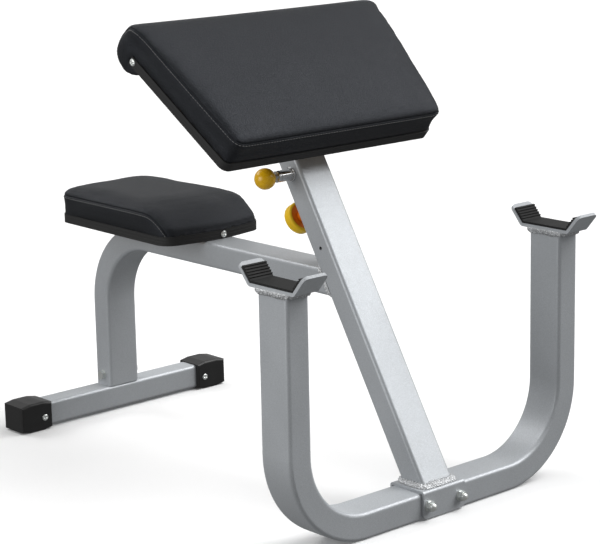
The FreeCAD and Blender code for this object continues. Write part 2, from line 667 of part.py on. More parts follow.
def make_saddle():
    """A folded plate astride the bottom bar, held by two through bolts with cap nuts in front."""
    inside = "(tube_width / 2 + saddle_gap)"
    profile = [
        (f"-{SADDLE_OUTSIDE}", "saddle_floor_gap"),
        (f"-{SADDLE_OUTSIDE}", SADDLE_TOP),
        (SADDLE_OUTSIDE, SADDLE_TOP),
        (SADDLE_OUTSIDE, "saddle_floor_gap"),
        (inside, "saddle_floor_gap"),
        (inside, "tube_depth"),
        (f"-{inside}", "tube_depth"),
        (f"-{inside}", "saddle_floor_gap"),
    ]
    folded = plate("saddle_plate_fold", "YZ_Plane", profile, "saddle_length")
    top, low = number(SADDLE_TOP), number("saddle_floor_gap")
    dress(
        folded,
        "Fillet",
        "saddle_folds",
        ("Radius", "saddle_bend"),
        lambda edge: runs_along(edge, X_AXIS) and abs(edge.CenterOfMass.z - top) < TINY,
    )
    dress(
        folded,
        "Chamfer",
        "saddle_corners",
        ("Size", "saddle_chamfer"),
        lambda edge: runs_along(edge, Y_AXIS) and abs(edge.CenterOfMass.z - low) < TINY,
    )
    holes, bolts, nuts, washers = [], [], [], []
    for side, sign in (("left", -1), ("right", 1)):
        x = f"{sign} * saddle_bolt_spacing / 2"
        start = (x, f"-{SADDLE_OUTSIDE} - overrun", "saddle_bolt_height")
        reach = f"2 * {SADDLE_OUTSIDE} + 2 * overrun"
        holes.append(rod(f"saddle_hole_{side}", "bolt_radius + bolt_gap", reach, start, "y"))
        shank = f"2 * {SADDLE_OUTSIDE} + 2 * washer_thickness + nut_height"
        bolt = hex_bolt(f"saddle_bolt_{side}", *FRAME_BOLT, shank)
        back = (x, f"{SADDLE_OUTSIDE} + washer_thickness", "saddle_bolt_height")
        front = (x, f"-{SADDLE_OUTSIDE} - washer_thickness", "saddle_bolt_height")
        bolts.append(place(bolt, back, X_AXIS, QUARTER_TURN))
        nuts.append(place(cap_nut(f"saddle_nut_{side}"), front, X_AXIS, QUARTER_TURN))
        for end, y in (("front", f"-{SADDLE_OUTSIDE}"), ("back", back[1])):
            ring = washer(f"saddle_washer_{side}_{end}", *FRAME_WASHER)
            washers.append(place(ring, (x, y, "saddle_bolt_height"), X_AXIS, QUARTER_TURN))
    node("post_saddle", cut("post_saddle_cut", folded, holes))
    node("saddle_bolts", group("saddle_bolt_group", bolts))
    node("saddle_cap_nuts", group("saddle_nut_group", nuts))
    node("saddle_washers", group("saddle_washer_group", washers))


def cap_nut(name):
    """A domed nut along Z, with a blind bore from zero."""
    body = hexagon(f"{name}_body", "bolt_flats", "nut_height")
    dome = doc.addObject("Part::Sphere", f"{name}_dome")
    bind(dome, "Radius", "nut_dome")
    place(dome, ("0", "0", "nut_height"))
    bore = rod(f"{name}_bore", "bolt_radius + thread_gap", "nut_height + thread_gap")
    return cut(name, join(f"{name}_solid", [body, dome]), [bore])


def make_post():
    """The leaning tube on the saddle, and the plastic bush that guides the pad tube in its mouth."""
    foot = "tube_depth / 2 * tan(post_lean) + overrun"
    section = ("tube_width", "tube_depth", "tube_corner", "tube_wall")
    tube = straight_tube("post_tube", section, "XY_Plane", f"-({foot})", f"post_length + {foot}")
    below = box(
        "post_foot_cut",
        ("2 * tube_width", "4 * tube_depth", "4 * tube_depth"),
        (
            "-tube_width",
            "-2 * tube_depth * cos(post_lean) + 4 * tube_depth * sin(post_lean)",
            "-2 * tube_depth * sin(post_lean) - 4 * tube_depth * cos(post_lean)",
        ),
        X_AXIS,
        "post_lean",
    )
    reach = f"{POST_SIDE} + overrun"
    pin_start = (f"-{POST_SIDE} - overrun", "0", "pin_height")
    side_start = (f"-{POST_SIDE} - overrun", "0", "side_hole_height")
    clamp_start = ("0", "0", "clamp_height")
    pin_hole = rod("post_pin_hole", "barrel_spigot + thread_gap", reach, pin_start, "x")
    side_hole = rod("post_side_hole", "side_hole_radius", reach, side_start, "x")
    clamp_hole = rod("post_clamp_hole", SCREW_WAY, f"{POST_BACK} + overrun", clamp_start, "y")
    node("front_post", on_post(cut("front_post_cut", tube, [below, pin_hole, side_hole, clamp_hole])))
    bush = doc.addObject("PartDesign::Body", "bush_body")
    post_bore = ("tube_width - 2 * tube_wall", "tube_depth - 2 * tube_wall", "tube_corner - tube_wall")
    bore = ("inner_width + 2 * slide_gap", "inner_depth + 2 * slide_gap", "inner_corner + slide_gap")
    sleeve = new_sketch(bush, "bush_sleeve_section", "XY_Plane", ("0", "0", "post_length - bush_depth"))
    draw_rounded(sleeve, *post_bore)
    draw_rounded(sleeve, *bore)
    pad_up(bush, "bush_sleeve", sleeve, "bush_depth")
    collar = new_sketch(bush, "bush_collar_section", "XY_Plane", ("0", "0", "post_length"))
    draw_rounded(collar, "tube_width", "tube_depth", "tube_corner")
    draw_rounded(collar, *bore)
    pad_up(bush, "bush_collar_pad", collar, "bush_collar")
    way = rod("bush_pin_hole", "barrel_spigot", reach, pin_start, "x")
    node("post_bush", on_post(cut("post_bush_cut", bush, [way])))


def make_seat_beam():
    """The tube from the post's back to the rear leg, bent down in one piece, with its bolt holes."""
    body = doc.addObject("PartDesign::Body", "beam_tube")
    start = f"(({BEAM_CENTRE} - {SADDLE_TOP}) * tan(post_lean))"
    path = new_sketch(body, "beam_path", "YZ_Plane")
    first, level, reach = number(start), number(BEAM_CENTRE), number("bench_reach")
    radius, low = number(BEND_LINE), number(FOOT_TOP)
    beam_ends = Vector(first, level, 0), Vector(reach - radius, level, 0)
    beam = path.addGeometry(Part.LineSegment(*beam_ends), False)
    circle = Part.Circle(Vector(reach - radius, level - radius, 0), Vector(0, 0, 1), radius)
    bend = path.addGeometry(Part.ArcOfCircle(circle, 0, math.pi / 2), False)
    leg_ends = Vector(reach, level - radius, 0), Vector(reach, low, 0)
    leg = path.addGeometry(Part.LineSegment(*leg_ends), False)
    path.addConstraint(Sketcher.Constraint("Tangent", beam, END_INDEX, bend, END_INDEX))
    path.addConstraint(Sketcher.Constraint("Tangent", bend, START_INDEX, leg, START_INDEX))
    path.addConstraint(Sketcher.Constraint("Horizontal", beam))
    path.addConstraint(Sketcher.Constraint("Vertical", leg))
    measure(path, "Radius", (bend,), BEND_LINE)
    measure(path, "DistanceX", (ORIGIN_INDEX, START_INDEX, beam, START_INDEX), start)
    measure(path, "DistanceY", (ORIGIN_INDEX, START_INDEX, beam, START_INDEX), BEAM_CENTRE)
    measure(path, "DistanceX", (ORIGIN_INDEX, START_INDEX, leg, END_INDEX), "bench_reach")
    measure(path, "DistanceY", (ORIGIN_INDEX, START_INDEX, leg, END_INDEX), FOOT_TOP)
    section = new_sketch(body, "beam_section", "XZ_Plane", ("0", BEAM_CENTRE, f"-{start}"))
    draw_tube(section, "tube_width", "tube_depth", "tube_corner", "tube_wall")
    pipe = body.newObject("PartDesign::AdditivePipe", "beam_pipe")
    pipe.Profile = section
    pipe.Spine = path
    post_room = box(
        "beam_front_cut",
        ("2 * tube_width", "2 * tube_depth", "post_length"),
        (
            "-tube_width",
            "-1.5 * tube_depth * cos(post_lean)",
            f"{SADDLE_TOP} + 1.5 * tube_depth * sin(post_lean)",
        ),
        BACK_X_AXIS,
        "post_lean",
    )
    bolt_start = ("-tube_width / 2 - overrun", "bench_reach", f"{FOOT_TOP} + leg_bolt_height")
    leg_hole = rod("leg_hole", "bolt_radius + bolt_gap", "tube_width + 2 * overrun", bolt_start, "x")
    tools = [post_room, leg_hole]
    through = "tube_depth + 2 * overrun"
    for k, y in enumerate(seat_bolt_places()):
        low_end = ("0", y, "beam_top - tube_depth - overrun")
        tools.append(rod(f"beam_seat_hole_{k}", "small_bolt_radius + bolt_gap", through, low_end))
    node("seat_beam", cut("seat_beam_cut", body, tools))


def seat_bolt_places():
    return [f"({SEAT_FRONT} + seat_bolt_inset + {k} * seat_bolt_pitch)" for k in range(2)]


def make_foot():
    """The cross tube behind, the spigot that the leg sits over, the leg bolt and the rubber boots."""
    section = ("foot_tube", "foot_tube", "tube_corner", "tube_wall")
    tube = straight_tube("foot_tube_body", section, "YZ_Plane", "-foot_length / 2", "foot_length")
    place(tube, ("0", "bench_reach", "foot_lift + foot_tube / 2"))
    screw_x = "(foot_length / 2 + boot_end_wall - boot_length + boot_screw_inset)"
    boot_front = "(bench_reach - boot_depth / 2)"
    holes, screws = [], []
    for side, sign in (("left", -1), ("right", 1)):
        at = (f"{sign} * {screw_x}", boot_front, "boot_screw_height")
        way_start = (at[0], f"{boot_front} - overrun", at[2])
        way_length = "boot_depth / 2 + overrun"
        way = rod(f"{side}_boot_screw_way", "boot_screw_radius + thread_gap", way_length, way_start, "y")
        holes.append(way)
        screw = dome_screw(f"{side}_boot_screw", "boot_screw_radius", "boot_screw_length")
        screws.append(place(screw, at, BACK_X_AXIS, QUARTER_TURN))
        make_boot(side, sign, way)
    node("foot_bar", cut("foot_bar_cut", tube, holes))
    node("boot_screws", group("boot_screw_group", screws))
    fit = "2 * tube_wall + 2 * spigot_gap"
    inside = (f"tube_width - ({fit})", f"tube_depth - ({fit})", "tube_corner - tube_wall", "tube_wall")
    stub = straight_tube("spigot_tube", inside, "XY_Plane", FOOT_TOP, "spigot_height")
    place(stub, ("0", "bench_reach", "0"))
    bolt_y, bolt_z = "bench_reach", f"{FOOT_TOP} + leg_bolt_height"
    way_start = ("-tube_width / 2 - overrun", bolt_y, bolt_z)
    way = rod("spigot_hole", "bolt_radius + bolt_gap", "tube_width + 2 * overrun", way_start, "x")
    node("leg_spigot", cut("leg_spigot_cut", stub, [way]))
    shank = "tube_width + 2 * washer_thickness + nut_height"
    bolt = hex_bolt("leg_bolt_solid", *FRAME_BOLT, shank)
    start = ("-tube_width / 2 - washer_thickness", bolt_y, bolt_z)
    node("leg_bolt", place(bolt, start, Y_AXIS, QUARTER_TURN))
    rings = []
    for end, x in (("head", start[0]), ("nut", "tube_width / 2")):
        ring = washer(f"leg_washer_{end}", *FRAME_WASHER)
        rings.append(place(ring, (x, bolt_y, bolt_z), Y_AXIS, QUARTER_TURN))
    node("leg_washers", group("leg_washer_group", rings))
    nut_body = hexagon("leg_nut_body", "bolt_flats", "nut_height")
    nut_length = "nut_height + 2 * overrun"
    nut_bore = rod("leg_nut_bore", "bolt_radius + thread_gap", nut_length, ("0", "0", "-overrun"))
    nut = cut("leg_nut_cut", nut_body, [nut_bore])
    nut_start = ("tube_width / 2 + washer_thickness", bolt_y, bolt_z)
    node("leg_nut", place(nut, nut_start, Y_AXIS, QUARTER_TURN))


def make_boot(side, sign, screw_way):
    """A rubber boot over an end of the foot bar, crowned above and below."""
    inner_end = "(foot_length / 2 + boot_end_wall - boot_length)"
    height = f"({FOOT_TOP} + boot_roof)"
    curve = [
        (f"{sign} * ({inner_end} + {along} * boot_length)", f"{dip} * boot_crown")
        for along, dip in BOOT_CURVE_SHARES
    ]
    sole = list(curve)
    top = [(x, f"{height} - {dip}") for x, dip in reversed(curve)]
    body = plate(f"{side}_boot_body", "XZ_Plane", sole + top, "boot_depth")
    place(body, ("0", "bench_reach", "0"))
    chosen = lambda edge: not runs_along(edge, Y_AXIS)
    round_body = fillet(f"{side}_boot_round", body, "boot_edge", chosen)
    start = f"{inner_end} - overrun" if sign > 0 else "-foot_length / 2 - boot_gap"
    wide = "foot_tube + 2 * boot_gap"
    room = box(
        f"{side}_boot_room",
        ("boot_length - boot_end_wall + overrun + boot_gap", wide, wide),
        (start, "bench_reach - foot_tube / 2 - boot_gap", "foot_lift - boot_gap"),
    )
    node(f"{side}_foot_boot", cut(f"{side}_boot_cut", round_body, [room, screw_way]))


def seat_corners(inset, front):
    """The seat's outline drawn in by an inset, and by a further run at its front."""
    full_half = number("seat_width / 2")
    half = full_half - inset
    rear_half = half - number("seat_taper / 2")
    rear = number(SEAT_REAR) - inset
    bow, bow_radius = (number(name) * half / full_half for name in ("seat_bow", "seat_bow_radius"))
    lead = bow_radius * (1 / math.cos(math.atan2(bow, half)) - 1)
    tip = number(SEAT_FRONT) + inset + front - lead
    front_corner = max(number("seat_front_corner") - inset / 2, number("trim_wall"))
    rear_corner = max(number("seat_rear_corner") - inset / 2, number("trim_wall"))
    return [
        (-half, tip + bow, front_corner),
        (0, tip, bow_radius),
        (half, tip + bow, front_corner),
        (rear_half, rear, rear_corner),
        (-rear_half, rear, rear_corner),
    ]


def make_seat():
    """A board bolted through the beam, its edge trim, and the crowned cushion with a sloping front."""
    low, top = number("beam_top"), number(SEAT_TOP)
    wall, past = number("trim_wall"), number("overrun")
    ring = slab(seat_corners(0, 0), low, top).cut(slab(seat_corners(wall, 0), low - past, top + past))
    board = slab(seat_corners(wall, 0), low, top)
    flange_low = top - number("tee_flange")
    ways = []
    for y in (number(text) for text in seat_bolt_places()):
        ways.append(upright_hole(number("tee_radius"), 0, y, low - past, top + past))
        ways.append(upright_hole(number("tee_flange_radius"), 0, y, flange_low, top + past))
    screw_x = number("seat_screw_offset")
    screw_z = (low + top) / 2
    screw_y = number(SEAT_FRONT)
    way = Part.makeCylinder(
        number("trim_screw_radius + thread_gap"),
        number("trim_screw_length") + past,
        Vector(screw_x, screw_y - past, screw_z),
        Vector(*Y_AXIS),
    )
    node("seat_trim", feature("seat_trim_strip", ring.cut(way)))
    node("seat_board", feature("seat_board_slab", board.cut(ways + [way])))
    screw = dome_screw("seat_trim_screw_solid", "trim_screw_radius", "trim_screw_length - screw_head")
    screw_place = ("seat_screw_offset", SEAT_FRONT, "beam_top + seat_board / 2")
    node("seat_trim_screw", place(screw, screw_place, BACK_X_AXIS, QUARTER_TURN))
    panel, crown = number("seat_panel"), number("seat_crown")
    tuck, run, slope = number("seat_tuck"), number("seat_round"), number("seat_waterfall")
    wires = []
    for panel_share, crown_share, tuck_share, run_share, front_share in SEAT_LEVEL_SHARES:
        height = top + panel * panel_share + crown * crown_share
        inset = tuck * tuck_share + run * run_share
        wires.append(rounded_wire(seat_corners(inset, slope * front_share), height))
    node("seat_cushion", feature("seat_cushion_loft", Part.makeLoft(wires, True, True)))
    bolts, rings, nuts = [], [], []
    under = "beam_top - tube_depth"
    for k, y in enumerate(seat_bolt_places()):
        shank = "tube_depth + small_washer_thickness + small_bolt_grip"
        bolt = hex_bolt(f"seat_bolt_{k}", *BOARD_BOLT, shank)
        bolts.append(place(bolt, ("0", y, f"{under} - small_washer_thickness")))
        ring = washer(f"seat_washer_{k}", *BOARD_WASHER)
        rings.append(place(ring, ("0", y, f"{under} - small_washer_thickness")))
        nuts.append(place(tee_nut(f"seat_tee_nut_{k}"), ("0", y, SEAT_TOP)))
    node("seat_bolts", group("seat_bolt_group", bolts))
    node("seat_washers", group("seat_washer_group", rings))
    node("seat_tee_nuts", group("seat_tee_nut_group", nuts))


def tee_nut(name):
    """A flanged nut that hangs from zero down into a board."""
    flange = rod(f"{name}_flange", "tee_flange_radius", "tee_flange", ("0", "0", "-tee_flange"))
    barrel = rod(f"{name}_barrel", "tee_radius", "tee_length", ("0", "0", "-tee_length"))
    low = ("0", "0", "-tee_length - overrun")
    bore = rod(f"{name}_bore", "small_bolt_radius + thread_gap", "tee_length + 2 * overrun", low)
    return cut(name, join(f"{name}_solid", [flange, barrel]), [bore])


def make_pad_tube():
    """The tube that slides in the post, with its row of adjustment holes, lower glide and top cap."""
    section = ("inner_width", "inner_depth", "inner_corner", "inner_wall")
    length = "inner_top - plug_flange - inner_start"
    tube = straight_tube("pad_tube_body", section, "XY_Plane", "inner_start", length)
    holes = [
        rod(
            f"pad_tube_hole_{k}",
            "pin_radius + pin_hole_gap",
            "inner_width / 2 + overrun",
            ("-inner_width / 2 - overrun", "0", f"pin_height - {k} * hole_pitch"),
            "x",
        )
        for k in range(HOLE_COUNT)
    ]
    node("pad_tube", on_post(cut("pad_tube_cut", tube, holes)))
    bore = ("inner_width - 2 * inner_wall", "inner_depth - 2 * inner_wall", "inner_corner - inner_wall")
    glide = doc.addObject("PartDesign::Body", "glide_body")
    shoe = new_sketch(glide, "glide_shoe_section", "XY_Plane", ("0", "0", "inner_start - glide_flange"))
    fit = "(2 * tube_wall + 2 * slide_gap)"
    draw_rounded(shoe, f"tube_width - {fit}", f"tube_depth - {fit}", "tube_corner - tube_wall")
    pad_up(glide, "glide_shoe", shoe, "glide_flange")
    plug = new_sketch(glide, "glide_plug_section", "XY_Plane", ("0", "0", "inner_start"))
    draw_rounded(plug, *bore)
    pad_up(glide, "glide_plug", plug, "glide_depth")
    node("pad_tube_glide", on_post(glide))
    cap = doc.addObject("PartDesign::Body", "cap_body")
    plug_low = ("0", "0", "inner_top - plug_flange - plug_depth")
    inside = new_sketch(cap, "cap_plug_section", "XY_Plane", plug_low)
    draw_rounded(inside, *bore)
    pad_up(cap, "cap_plug", inside, "plug_depth")
    rim = new_sketch(cap, "cap_rim_section", "XY_Plane", ("0", "0", "inner_top - plug_flange"))
    draw_rounded(rim, "inner_width", "inner_depth", "inner_corner")
    pad_up(cap, "cap_rim", rim, "plug_flange")
    top = number("inner_top")
    rounded = fillet("pad_cap_round", cap, "plug_edge", lambda edge: abs(edge.CenterOfMass.z - top) < TINY)
    node("pad_tube_cap", on_post(rounded))


def on_tube(along, across):
    """A point of the pad tube's side view, on the pad's own axes: along the post and from its axis."""
    rise, back = f"({along} - inner_top)", f"({across} + inner_depth / 2)"
    y = f"pad_overhang + {rise} * cos({PAD_TURN}) + {back} * sin({PAD_TURN})"
    z = f"{rise} * sin({PAD_TURN}) - {back} * cos({PAD_TURN}) - bracket_plate"
    return y, z


def make_pad_bracket():
    """A plate under the board with two gussets astride the pad tube, which stop on the bush's collar."""
    flat = box(
        "bracket_flat",
        ("bracket_width", "bracket_length", "bracket_plate"),
        ("-bracket_width / 2", "bracket_start", "-bracket_plate"),
    )
    foot = f"({COLLAR_TOP} + rest_gap)"
    outline = [
        on_tube(foot, "inner_depth / 2"),
        on_tube("inner_top - gusset_tail", "inner_depth / 2"),
        ("gusset_end", "-bracket_plate"),
        ("gusset_start", "-bracket_plate"),
        on_tube(foot, "-inner_depth / 2"),
    ]
    pieces = [flat]
    for side, sign in (("left", -1), ("right", 1)):
        gusset = plate(f"{side}_gusset", "YZ_Plane", outline, "gusset_plate")
        pieces.append(place(gusset, (f"{sign} * (inner_width + gusset_plate) / 2", "0", "0")))
    tools = []
    through = "bracket_plate + 2 * overrun"
    for k, (x, y) in enumerate(pad_bolt_places()):
        low = (x, y, "-bracket_plate - overrun")
        tools.append(rod(f"bracket_hole_{k}", "small_bolt_radius + bolt_gap", through, low))
    node("pad_bracket", on_pad(cut("pad_bracket_cut", join("pad_bracket_solid", pieces), tools)))
    bolts, rings, nuts = [], [], []
    for k, (x, y) in enumerate(pad_bolt_places()):
        under = "-bracket_plate - small_washer_thickness"
        shank = "bracket_plate + small_washer_thickness + small_bolt_grip"
        bolt = hex_bolt(f"pad_bolt_{k}", *BOARD_BOLT, shank)
        bolts.append(place(bolt, (x, y, under)))
        ring = washer(f"pad_washer_{k}", *BOARD_WASHER)
        rings.append(place(ring, (x, y, under)))
        nuts.append(place(tee_nut(f"pad_tee_nut_{k}"), (x, y, "pad_board")))
    node("pad_bolts", on_pad(group("pad_bolt_group", bolts)))
    node("pad_washers", on_pad(group("pad_washer_group", rings)))
    node("pad_tee_nuts", on_pad(group("pad_tee_nut_group", nuts)))


def pad_bolt_places():
    middle = "bracket_start + bracket_length / 2"
    return [
        (f"{across} * pad_bolt_spread / 2", f"{middle} + {up} * pad_bolt_pitch / 2")
        for across in (-1, 1)
        for up in (-1, 1)
    ]


def pad_corners(inset, far, far_corner):
    """The arm pad's outline drawn in by an inset, from its lower edge to a far end."""
    half, flare = number("pad_width / 2"), number("tan(pad_flare)")
    corner = max(number("pad_corner") - inset / 2, number("trim_wall"))
    near_half = half + flare * inset - inset
    far_half = half + flare * far - inset
    return [
        (-near_half, inset, corner),
        (near_half, inset, corner),
        (far_half, far, far_corner),
        (-far_half, far, far_corner),
    ]


def pad_profile(x, crown):
    """The arm pad cushion's section at a place across: board top, crowned top, and the roll at its end."""
    front = -number("overrun")
    board, panel = number("pad_board"), number("pad_panel")
    roll_y, roll_z, radius = number(ROLL_CENTRE), number("roll_height"), number("roll_radius")
    gap = number("rest_gap")
    end = number("pad_length") + gap
    slant = radius * math.sqrt(0.5)
    tail_y = roll_y - math.sqrt(radius**2 - (roll_z + gap) ** 2)
    tail_angle = math.atan2(-gap - roll_z, tail_y - roll_y) % (2 * math.pi)
    under_angle = (tail_angle + 1.5 * math.pi) / 2

    def at(y, z):
        return Vector(x, y, z)

    start, edge = at(front, board), at(front, board + panel)
    roll_top, roll_low = at(roll_y, roll_z + radius), at(roll_y, roll_z - radius)
    roll_end = at(roll_y + radius, roll_z)
    under = at(roll_y + radius * math.cos(under_angle), roll_z + radius * math.sin(under_angle))
    tail, heel, step = at(tail_y, -gap), at(end, -gap), at(end, board)
    curves = [
        Part.LineSegment(start, edge),
        Part.Arc(edge, at(roll_y / 2, board + panel + crown), roll_top),
        Part.Arc(roll_top, at(roll_y + slant, roll_z + slant), roll_end),
        Part.Arc(roll_end, at(roll_y + slant, roll_z - slant), roll_low),
        Part.Arc(roll_low, under, tail),
        Part.LineSegment(tail, heel),
        Part.LineSegment(heel, step),
        Part.LineSegment(step, start),
    ]
    return Part.Wire([curve.toShape() for curve in curves])


def make_arm_pad():
    """The flared board, its trim strip, and the crowned cushion with a roll past its upper end."""
    length, board, wall = number("pad_length"), number("pad_board"), number("trim_wall")
    past = number("overrun")
    inside = slab(pad_corners(wall, length + past, wall / 2), -past, board + past)
    strip = slab(pad_corners(0, length, wall / 2), 0, board).cut(inside)
    panel_board = slab(pad_corners(wall, length, wall / 2), 0, board)
    flange_low = board - number("tee_flange")
    ways = []
    for x, y in ((number(a), number(b)) for a, b in pad_bolt_places()):
        ways.append(upright_hole(number("tee_radius"), x, y, -past, board + past))
        ways.append(upright_hole(number("tee_flange_radius"), x, y, flange_low, board + past))
    screws = []
    screw_y = "(pad_length - pad_screw_inset)"
    screw_x = f"(pad_width / 2 + {screw_y} * tan(pad_flare))"
    flare = math.radians(number("pad_flare"))
    radius, reach = number("trim_screw_radius + thread_gap"), number("trim_screw_length") + past
    for side, sign in (("left", -1), ("right", 1)):
        inward = Vector(-sign * math.cos(flare), math.sin(flare), 0)
        face = Vector(sign * number(screw_x), number(screw_y), board / 2)
        ways.append(Part.makeCylinder(radius, reach, face - inward * past, inward))
        screw = dome_screw(f"{side}_pad_screw", "trim_screw_radius", "trim_screw_length - screw_head")
        at = (f"{sign} * {screw_x}", screw_y, "pad_board / 2")
        screws.append(place(screw, at, (-inward.y, inward.x, 0), QUARTER_TURN))
    node("pad_board", on_pad(feature("pad_board_slab", panel_board.cut(ways))))
    node("pad_trim", on_pad(feature("pad_trim_strip", strip.cut(ways))))
    node("pad_trim_screws", on_pad(group("pad_screw_group", screws)))
    radius, panel, crown = number("roll_radius"), number("pad_panel"), number("pad_crown")
    tuck, run = number("pad_tuck"), number("pad_round")
    far, roll_corner = number(f"{ROLL_CENTRE} + roll_radius + rest_gap"), number("roll_corner")
    wires = []
    for low_share, board_share, panel_share, crown_share, tuck_share, run_share in PAD_LEVEL_SHARES:
        height = radius * low_share + board * board_share + panel * panel_share + crown * crown_share
        inset = tuck * tuck_share + run * run_share
        wires.append(rounded_wire(pad_corners(inset, far, roll_corner), height))
    plan = Part.makeLoft(wires, True, True)
    half = number("pad_width / 2") + far * number("tan(pad_flare)")
    sections = [pad_profile(half * across, crown * rise) for across, rise in PAD_CROWN_SHARES]
    cushion = Part.makeLoft(sections, True, False).common(plan)
    node("pad_cushion", on_pad(feature("pad_cushion_loft", cushion)))


def make_pull_pin():
    """The barrel on the post's side, its cap and spring, and the sprung pin with its ball knob."""

    def bar(name, radius, length, start):
        """A round bar on the pin's axis; start is how far its outer end is from the post's axis."""
        return rod(name, radius, length, (f"-({start})", "0", "pin_height"), "x")

    pin_way = "pin_radius + pin_gap"
    barrel_body = bar("barrel_body", "barrel_radius", "barrel_length", BARREL_END)
    spigot = bar("barrel_spigot_body", "barrel_spigot", "tube_wall", POST_SIDE)
    outside = f"{BARREL_END} + overrun"
    room = bar("barrel_room_cut", "barrel_room", "barrel_length - barrel_floor + overrun", outside)
    bore = bar("barrel_bore", pin_way, "barrel_length + tube_wall + 2 * overrun", outside)
    barrel = join("barrel_solid", [barrel_body, spigot])
    node("pin_barrel", on_post(cut("pin_barrel_cut", barrel, [room, bore])))
    cap_body = bar("barrel_cap_body", "barrel_radius", "cap_length", f"{BARREL_END} + cap_length")
    size = number("barrel_radius")
    height = number("pin_height")
    reaches = (number(BARREL_END), number(f"{BARREL_END} + cap_length"))
    ends = [Vector(-reach, 0, height) for reach in reaches]
    is_rim = lambda edge: any(is_ring(edge, end, size) for end in ends)
    round_cap = fillet("barrel_cap_round", cap_body, "barrel_edge", is_rim)
    cap_outside = f"{BARREL_END} + cap_length + overrun"
    cap_bore = bar("barrel_cap_bore", pin_way, "cap_length + 2 * overrun", cap_outside)
    node("pin_barrel_cap", on_post(cut("pin_barrel_cap_cut", round_cap, [cap_bore])))
    socket_end = f"({BALL_CENTRE} - ball_radius + ball_socket)"
    stem = bar("pin_stem", "pin_radius", f"{socket_end} - {NOSE}", socket_end)
    collar = bar("pin_collar", "collar_radius", "collar_length", COLLAR_BACK)
    node("pull_pin", on_post(join("pull_pin_solid", [stem, collar])))
    ball = doc.addObject("Part::Sphere", "ball_body")
    bind(ball, "Radius", "ball_radius")
    place(ball, (f"-{BALL_CENTRE}", "0", "pin_height"))
    flat = "sqrt(ball_radius ^ 2 - ball_flat ^ 2)"
    off = box(
        "ball_flat_cut",
        ("ball_radius", "2 * ball_radius", "2 * ball_radius"),
        (f"-{BALL_CENTRE} + {flat}", "-ball_radius", "pin_height - ball_radius"),
    )
    socket_start = f"{socket_end} + thread_gap"
    socket = bar("ball_socket_cut", "pin_radius + thread_gap", "2 * ball_radius", socket_start)
    node("ball_knob", on_post(cut("ball_knob_cut", ball, [off, socket])))
    make_spring()


def tangent_arcs(start, start_way, end, end_way):
    """Two arcs that leave a start along one unit vector, meet smoothly, and reach an end along another."""
    span, ways, turn = end - start, start_way + end_way, 2 * (1 - start_way.dot(end_way))
    along = span.dot(ways)
    reach = (math.sqrt(along**2 + turn * span.dot(span)) - along) / turn
    middle = (start + end + (start_way - end_way) * reach) / 2

    def arc(first, corner, last):
        weight = (last - first).Length / 2 / reach
        top = (first + last + corner * 2 * weight) / (2 + 2 * weight)
        return Part.Arc(first, top, last).toShape()

    return [arc(start, start + start_way * reach, middle), arc(middle, end - end_way * reach, end)]


def make_spring():
    """A wire wound about X as quarter turns, in the barrel between the cap and the pin's collar."""
    wire, radius, pitch = number("spring_wire"), number("spring_radius"), number("spring_pitch")
    rise = pitch / (2 * math.pi)

    def point(turn):
        return Vector(radius * math.cos(turn), radius * math.sin(turn), rise * turn)

    def way(turn):
        return Vector(-radius * math.sin(turn), radius * math.cos(turn), rise).normalize()

    turns = [k * math.pi / 2 for k in range(4 * SPRING_TURNS + 1)]
    edges = []
    for turn, following in zip(turns, turns[1:]):
        edges += tangent_arcs(point(turn), way(turn), point(following), way(following))
    circle = Part.Circle(point(0), way(0), wire / 2)
    coil = Part.Wire(edges).makePipeShell([Part.Wire(circle.toShape())], True, False)
    solid = feature("pin_spring_coil", Part.Compound([coil]).Solids[0])
    start = f"-({BARREL_END} + {COLLAR_BACK} + spring_pitch * {SPRING_TURNS}) / 2"
    place(solid, (start, "0", "pin_height"), Y_AXIS, QUARTER_TURN)
    node("pin_spring", on_post(group("pin_spring_group", [solid])))


